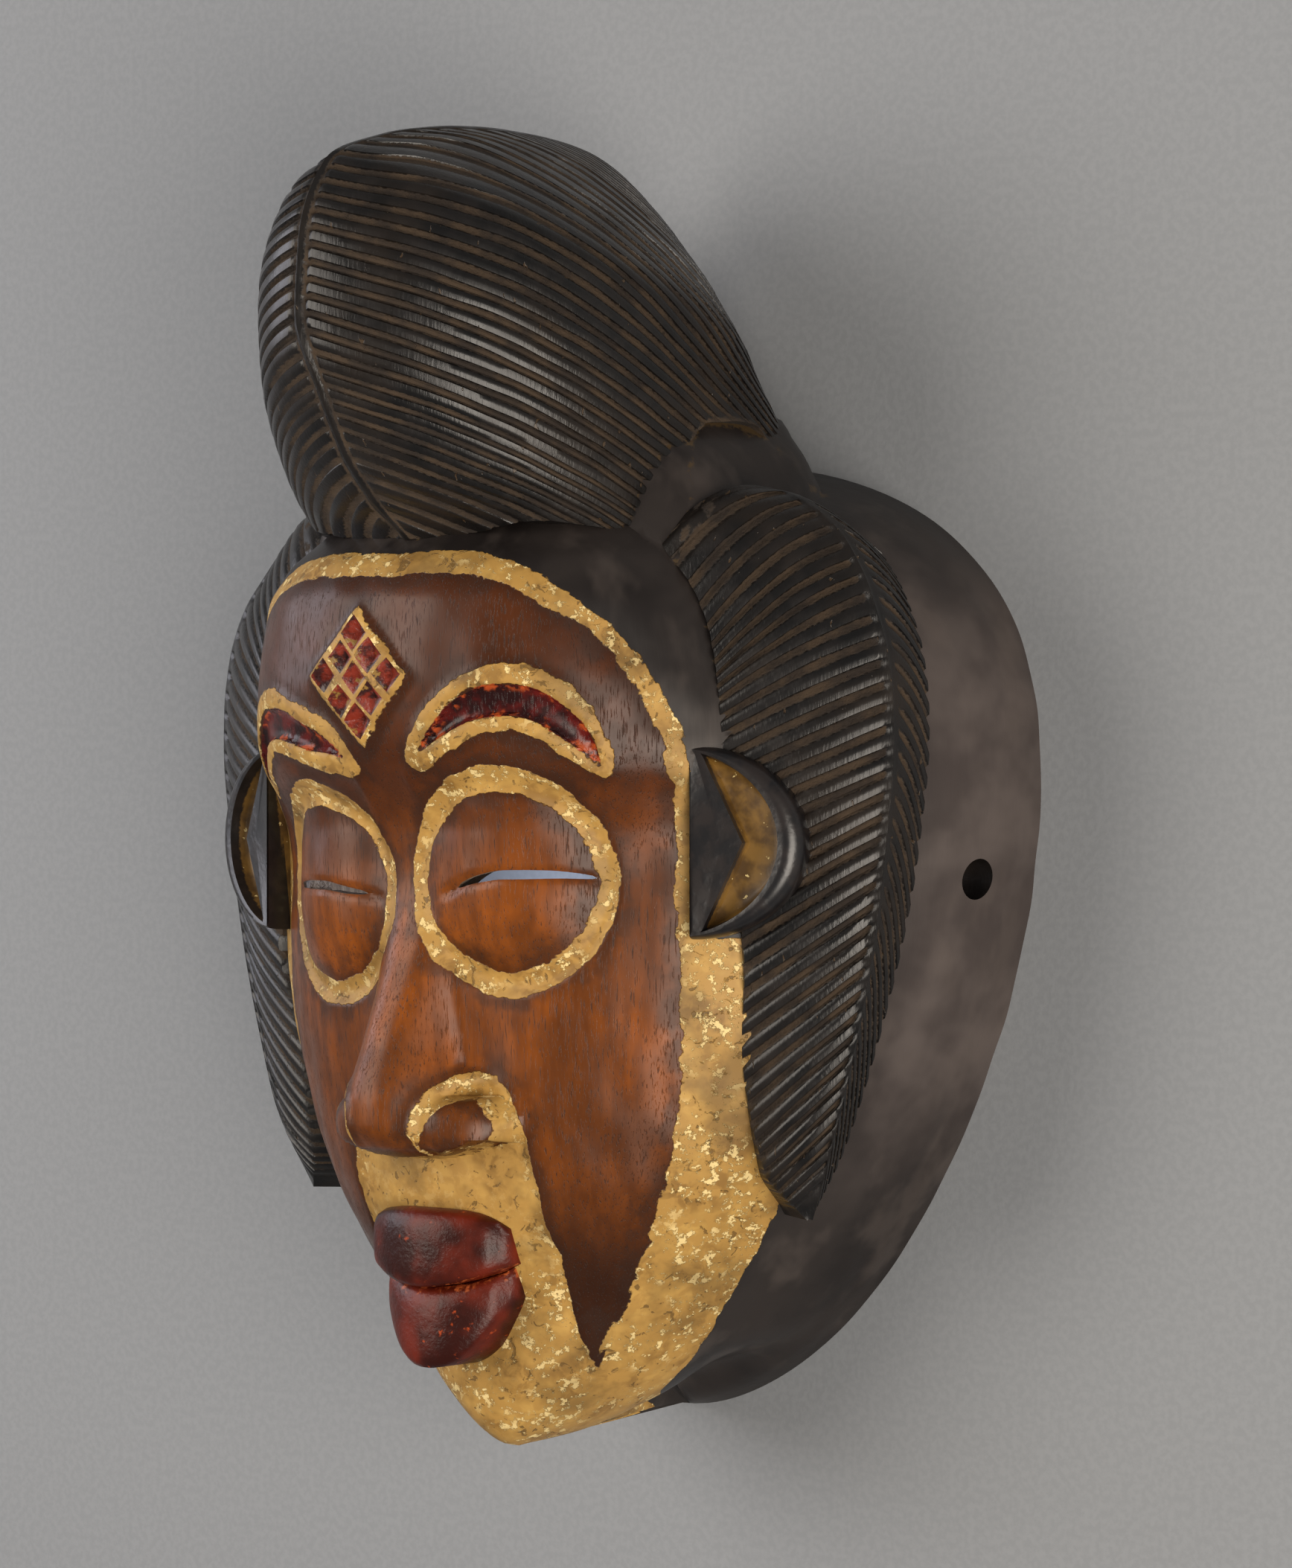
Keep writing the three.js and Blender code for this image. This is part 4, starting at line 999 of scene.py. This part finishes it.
# Finishes. Patterns are sized in millimetres, and colours are as seen on a screen.
def colour(text):
    parts = [int(text[i:i + 2], 16) / 255 for i in (1, 3, 5)]
    return (*(v / 12.92 if v < 0.04045 else ((v + 0.055) / 1.055) ** 2.4 for v in parts), 1)


def startFinish(finish):
    material = materialOf(finish)
    material.use_nodes = True
    tree = material.node_tree
    tree.nodes.clear()
    return tree


def endFinish(tree, base, roughness, height, depthMm, specular=0.5):
    uneven = addNode(tree, "ShaderNodeBump", {"Height": height, "Distance": depthMm * 0.001})
    shader = addNode(tree, "ShaderNodeBsdfPrincipled", {
        "Base Color": base, "Roughness": roughness, "Normal": uneven, "Specular IOR Level": specular})
    addNode(tree, "ShaderNodeOutputMaterial", {"Surface": shader})


# Lays one colour or value over another, by a share that may be the product of several.
def coat(tree, under, over, share, *shares):
    for each in shares:
        share = addNode(tree, "ShaderNodeMath", {"Value": share, "Value_001": each}, operation="MULTIPLY")
    under, over = (colour(each) if isinstance(each, str) else each for each in (under, over))
    kind = "RGBA" if isinstance(over, tuple) or getattr(over, "type", "") == "RGBA" else "FLOAT"
    return addNode(tree, "ShaderNodeMix", {"Factor": share, "A": under, "B": over}, data_type=kind)


# 0 to 1 as a value, or one written on the mesh, passes from low to high. Noise can make its edge ragged.
def passing(tree, value, low, high, ragged=None, amount=0.0):
    if isinstance(value, str):
        value = addNode(tree, "ShaderNodeAttribute", attribute_name=value).node.outputs["Fac"]
    if ragged:
        shift = coat(tree, -amount, amount, ragged)
        value = addNode(tree, "ShaderNodeMath", {"Value": value, "Value_001": shift})
    return addNode(tree, "ShaderNodeMapRange", {"Value": value, "From Min": low, "From Max": high},
                   interpolation_type="SMOOTHSTEP")


# Noise with blobs of about the given size, and 0 to 1 where it passes from low to high.
def blotches(tree, sizeMm, low=0.35, high=0.65, stretch=(1, 1, 1), detail=3.0, rough=0.55, swirl=0.0,
             offset=0):
    place = addNode(tree, "ShaderNodeTexCoord").node.outputs["Object"]
    scale = [1000 / sizeMm / each for each in stretch]
    place = addNode(tree, "ShaderNodeMapping", {"Vector": place, "Scale": scale, "Location": (offset,) * 3})
    noise = addNode(tree, "ShaderNodeTexNoise", {
        "Vector": place, "Scale": 1.0, "Detail": detail, "Roughness": rough, "Distortion": swirl})
    return passing(tree, noise, low, high)


# Hardwood stained black and polished by handling: soft gloss on the locks, dry dust in the cuts.
def finishHair():
    tree = startFinish("hair")
    fine, broad = blotches(tree, 1.1), blotches(tree, 9, offset=3)
    black = coat(tree, "#0e0d0d", "#171413", broad)
    black = coat(tree, black, "#261e17", blotches(tree, 30, 0.45, 0.7, offset=4), 0.5)
    black = coat(tree, black, "#3c3026", passing(tree, "bend", 0.3, 0.7, fine, 0.15), 0.22)
    nicks = blotches(tree, 3.6, 0.7, 0.73, stretch=(0.5, 1.5, 1), detail=2.0, offset=8)
    black = coat(tree, black, "#3d2f20", nicks)
    dusty = passing(tree, "groove", 0.26, 0.72, fine, 0.12)
    dust = coat(tree, "#28201a", "#403326", blotches(tree, 10, offset=6))
    roughness = coat(tree, coat(tree, 0.28, 0.38, broad), 0.9, dusty)
    grain = coat(tree, 0.0, 0.25, blotches(tree, 0.8, stretch=(1, 7, 1), offset=9))
    height = coat(tree, coat(tree, grain, fine, dusty), -2.0, nicks)
    endFinish(tree, coat(tree, black, dust, dusty), roughness, height, 0.1, specular=0.4)


# The face: oiled reddish hardwood, ochre and red paint that has worn and flaked, and black stain round it.
def finishSkin():
    tree = startFinish("skin")
    place = addNode(tree, "ShaderNodeTexCoord").node.outputs["Object"]
    split = addNode(tree, "ShaderNodeSeparateXYZ", {"Vector": place}).node.outputs
    height, rise = split["Y"], split["Z"]
    pores = blotches(tree, 0.4, 0.55, 0.7, stretch=(1, 14, 1), detail=4.0)  # twice as wide as real, to show
    streaks = blotches(tree, 3, 0.3, 0.7, stretch=(1, 9, 1), offset=5)
    cloud, patch = blotches(tree, 26, offset=1), blotches(tree, 7, offset=2)
    fine = blotches(tree, 1.3, offset=7)
    ragged = coat(tree, patch, fine, 0.25)
    warm = passing(tree, height, 0.01, -0.035)
    wood = coat(tree, coat(tree, "#3b1d0d", "#643410", warm), coat(tree, "#502810", "#8a4812", warm), cloud)
    wood = coat(tree, wood, "#43210b", streaks, 0.5)
    wood = coat(tree, wood, "#211107", pores, 0.7)
    wood = coat(tree, wood, "#241108", passing(tree, height, -0.06, -0.135), 0.9)
    wood = coat(tree, wood, "#2e1b11", passing(tree, "gold", -5, 0, patch, 2.0), 0.6)

    ochre = coat(tree, "#8a6733", "#b9924e", blotches(tree, 12, offset=12))
    ochre = coat(tree, ochre, "#aa8344", blotches(tree, 4, 0.42, 0.6, detail=5.0, swirl=0.6, offset=11))
    bare = blotches(tree, 3.4, 0.6, 0.66, detail=5.0, rough=0.62, swirl=0.8, offset=17)
    ochre = coat(tree, ochre, "#644b26", bare, 0.8)
    calm = coat(tree, 1.0, 0.12, passing(tree, "muzzle", -2, 3))  # the upper lip kept its smooth coat
    flakes = blotches(tree, 3, 0.545, 0.575, detail=6.0, rough=0.72, offset=13)
    flakes = coat(tree, 0.0, 1.0, flakes, blotches(tree, 16, 0.36, 0.56, offset=14), calm)
    ochre = coat(tree, ochre, "#e3c98c", flakes)
    ochre = coat(tree, ochre, "#5c4727", blotches(tree, 20, 0.48, 0.68, detail=5.0, offset=15), 0.55)
    isGold = passing(tree, "gold", -0.12, 0.12, ragged, 0.5)

    lacquer = coat(tree, "#220b0b", "#591410", blotches(tree, 7, 0.4, 0.64, offset=19))
    glowing = passing(tree, "red", 2.2, 0.3)
    lacquer = coat(tree, lacquer, "#a8481f", glowing, blotches(tree, 4, 0.5, 0.62, offset=21))
    isRed = passing(tree, "red", -0.1, 0.15, ragged, 0.3)

    away = addNode(tree, "ShaderNodeMath", {"Value": height, "Value_001": 0.02})
    away = addNode(tree, "ShaderNodeMath", {"Value": away}, operation="ABSOLUTE")
    low = passing(tree, rise, 0.06, 0.03)
    paintedCollarSheen = coat(tree, 0.0, 1.0, low, passing(tree, away, 0.1, 0.04))  # painted sheen: the collar's stain is painted paler low down, round mid-height
    stain, pale = coat(tree, "#1f1b1a", "#403937", paintedCollarSheen), coat(tree, "#2b2624", "#544c49", paintedCollarSheen)
    stain = coat(tree, stain, pale, cloud)
    smears = blotches(tree, 16, 0.5, 0.7, stretch=(1, 2, 1), offset=23)
    stain = coat(tree, stain, "#5a514c", smears, 0.3)
    isFace = passing(tree, "face", -0.1, 0.1, ragged, 0.5)
    base = coat(tree, stain, coat(tree, coat(tree, wood, ochre, isGold), lacquer, isRed), isFace)
    base = coat(tree, base, "#453725", passing(tree, "groove", 0.3, 0.8, fine, 0.2))
    woodRough = coat(tree, coat(tree, 0.3, 0.38, patch), 0.5, pores)
    roughness = coat(tree, coat(tree, woodRough, coat(tree, 0.5, 0.66, flakes), isGold), 0.26, isRed)
    roughness = coat(tree, coat(tree, 0.38, 0.46, cloud), roughness, isFace)
    painted = coat(tree, coat(tree, 0.9, 0.35, bare), 1.5, flakes)
    texture = coat(tree, coat(tree, 0.0, -0.25, pores), painted, isGold)
    texture = coat(tree, coat(tree, 0.0, 0.12, streaks), texture, isFace)
    endFinish(tree, base, roughness, texture, 0.25, specular=0.25)


# Carved ears: black rim and flap, and a bowl that keeps its ochre.
def finishEar():
    tree = startFinish("ear")
    patch, fine = blotches(tree, 6, offset=31), blotches(tree, 1.1, offset=33)
    bowl = coat(tree, "#4d3616", "#775825", patch)
    bowl = coat(tree, bowl, "#d3bd82", blotches(tree, 2, 0.68, 0.7, offset=35))
    inBowl = passing(tree, "earDepth", 2.6, 3.2, fine, 0.2)
    base = coat(tree, coat(tree, "#131214", "#221d1c", patch), bowl, inBowl)
    endFinish(tree, base, coat(tree, 0.3, 0.45, inBowl), patch, 0.06)


# Lips: several coats of dark red lacquer, worn to orange at the seam.
def finishLip():
    tree = startFinish("lip")
    glow, fine = blotches(tree, 17, 0.36, 0.7, offset=41), blotches(tree, 1.4, offset=43)
    red = coat(tree, "#2c0c06", "#681f0d", glow)
    red = coat(tree, red, "#a2411a", blotches(tree, 4, 0.64, 0.72, detail=5.0, offset=44))
    above, below = passing(tree, "seam", -2.6, -0.8, fine, 0.9), passing(tree, "seam", 0.2, -0.3, fine, 0.2)
    red = coat(tree, red, "#a9542a", above, below, blotches(tree, 3, 0.48, 0.6, offset=45))
    endFinish(tree, red, coat(tree, 0.33, 0.42, glow), fine, 0.05, specular=0.25)


# Chip-cut cells: red lacquer and ochre rubbed into facets that each catch the light their own way.
def finishCell():
    tree = startFinish("cell")
    red = coat(tree, "#2e0d0a", "#7c2714", blotches(tree, 4, 0.4, 0.6, offset=51))
    base = coat(tree, red, "#86662f", blotches(tree, 4, 0.6, 0.66, offset=55))
    endFinish(tree, base, 0.36, blotches(tree, 1.2, offset=53), 0.08)


# Behind the mask the wood is bare, as the adze left it: pale, dull and streaked along the grain.
def finishBack():
    tree = startFinish("back")
    streaks, fine = blotches(tree, 2.4, stretch=(1, 9, 1), offset=61), blotches(tree, 0.9, offset=63)
    wood = coat(tree, "#776453", "#a08a73", streaks)
    wood = coat(tree, wood, "#6a5747", blotches(tree, 22, offset=65))
    endFinish(tree, wood, 0.78, coat(tree, streaks, fine, 0.4), 0.3)


for finish in (finishHair, finishSkin, finishEar, finishLip, finishCell, finishBack):
    finish()
print("finishes made")

# Plain pale floor, soft lights and a camera at the picture's angle.
studio = {
    "floorColours": ("#84878b", "#898c90"), "floorSize": 6.0, "ambient": 0.2,
    "camera": (0.8904, 0.0011, 1.0804), "angle": 40, "lens": 119.6, "clip": (0.05, 20),
    "lights": {
        "key": {"at": (-0.75, 0.28, 1.3), "size": 1.1, "watts": 15, "tint": "#fff6ea"},
        "fill": {"at": (1.4, -0.35, 0.95), "size": 1.2, "watts": 33, "tint": "#fff5e8"},
        "rim": {"at": (-1.1, 0.3, 0.5), "size": 0.7, "watts": 4, "tint": "#f4f4ff"},
    },
    "glow": {"at": (-0.042, -0.028, 0.042), "radius": 0.012, "watts": 0.12, "tint": "#d2dcf0"},
}


# Matt grey paper, with just enough tooth to look like a surface.
def makeFloor():
    half = studio["floorSize"] / 2
    corners = [(-half, -half, 0), (half, -half, 0), (half, half, 0), (-half, half, 0)]
    mesh = bpy.data.meshes.new("floor")
    mesh.from_pydata(corners, [], [(0, 1, 2, 3)])
    mesh.materials.append(materialOf("floor"))
    tree = startFinish("floor")
    tooth = blotches(tree, 2, offset=71)
    endFinish(tree, coat(tree, *studio["floorColours"], tooth), 0.9, tooth, 0.02)
    return addObject("floor", mesh)


def makeLamp(name, kind, facts):
    light = bpy.data.lights.new(name, kind)
    light.energy, light.color = facts["watts"], colour(facts["tint"])[:3]
    lamp = addObject(name, light)
    lamp.location = facts["at"]
    return lamp


def makeLights():
    for name, facts in studio["lights"].items():
        lamp = makeLamp(name, "AREA", facts)
        lamp.data.shape, lamp.data.size = "DISK", facts["size"]
        lamp.rotation_euler = (-lamp.location).to_track_quat("-Z", "Y").to_euler()
    glow = makeLamp("throughTheEyes", "POINT", studio["glow"])  # lights what shows through the slits
    glow.data.shadow_soft_size = studio["glow"]["radius"]
    glow.visible_camera = False


floor = makeFloor()
makeLights()
world = bpy.data.worlds.new("studio")
world.use_nodes = True
world.node_tree.nodes["Background"].inputs["Strength"].default_value = studio["ambient"]
world.node_tree.nodes["Background"].inputs["Color"].default_value = (1, 1, 1, 1)
bpy.context.scene.world = world
bpy.context.scene.view_settings.view_transform = "Standard"
camera = addObject("camera", bpy.data.cameras.new("camera"))
camera.data.lens = studio["lens"]
camera.data.clip_start, camera.data.clip_end = studio["clip"]
camera.location = studio["camera"]
camera.rotation_euler = (0, math.radians(studio["angle"]), 0)
bpy.context.scene.camera = camera
print("studio set")

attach(mask, "root")
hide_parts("mask")
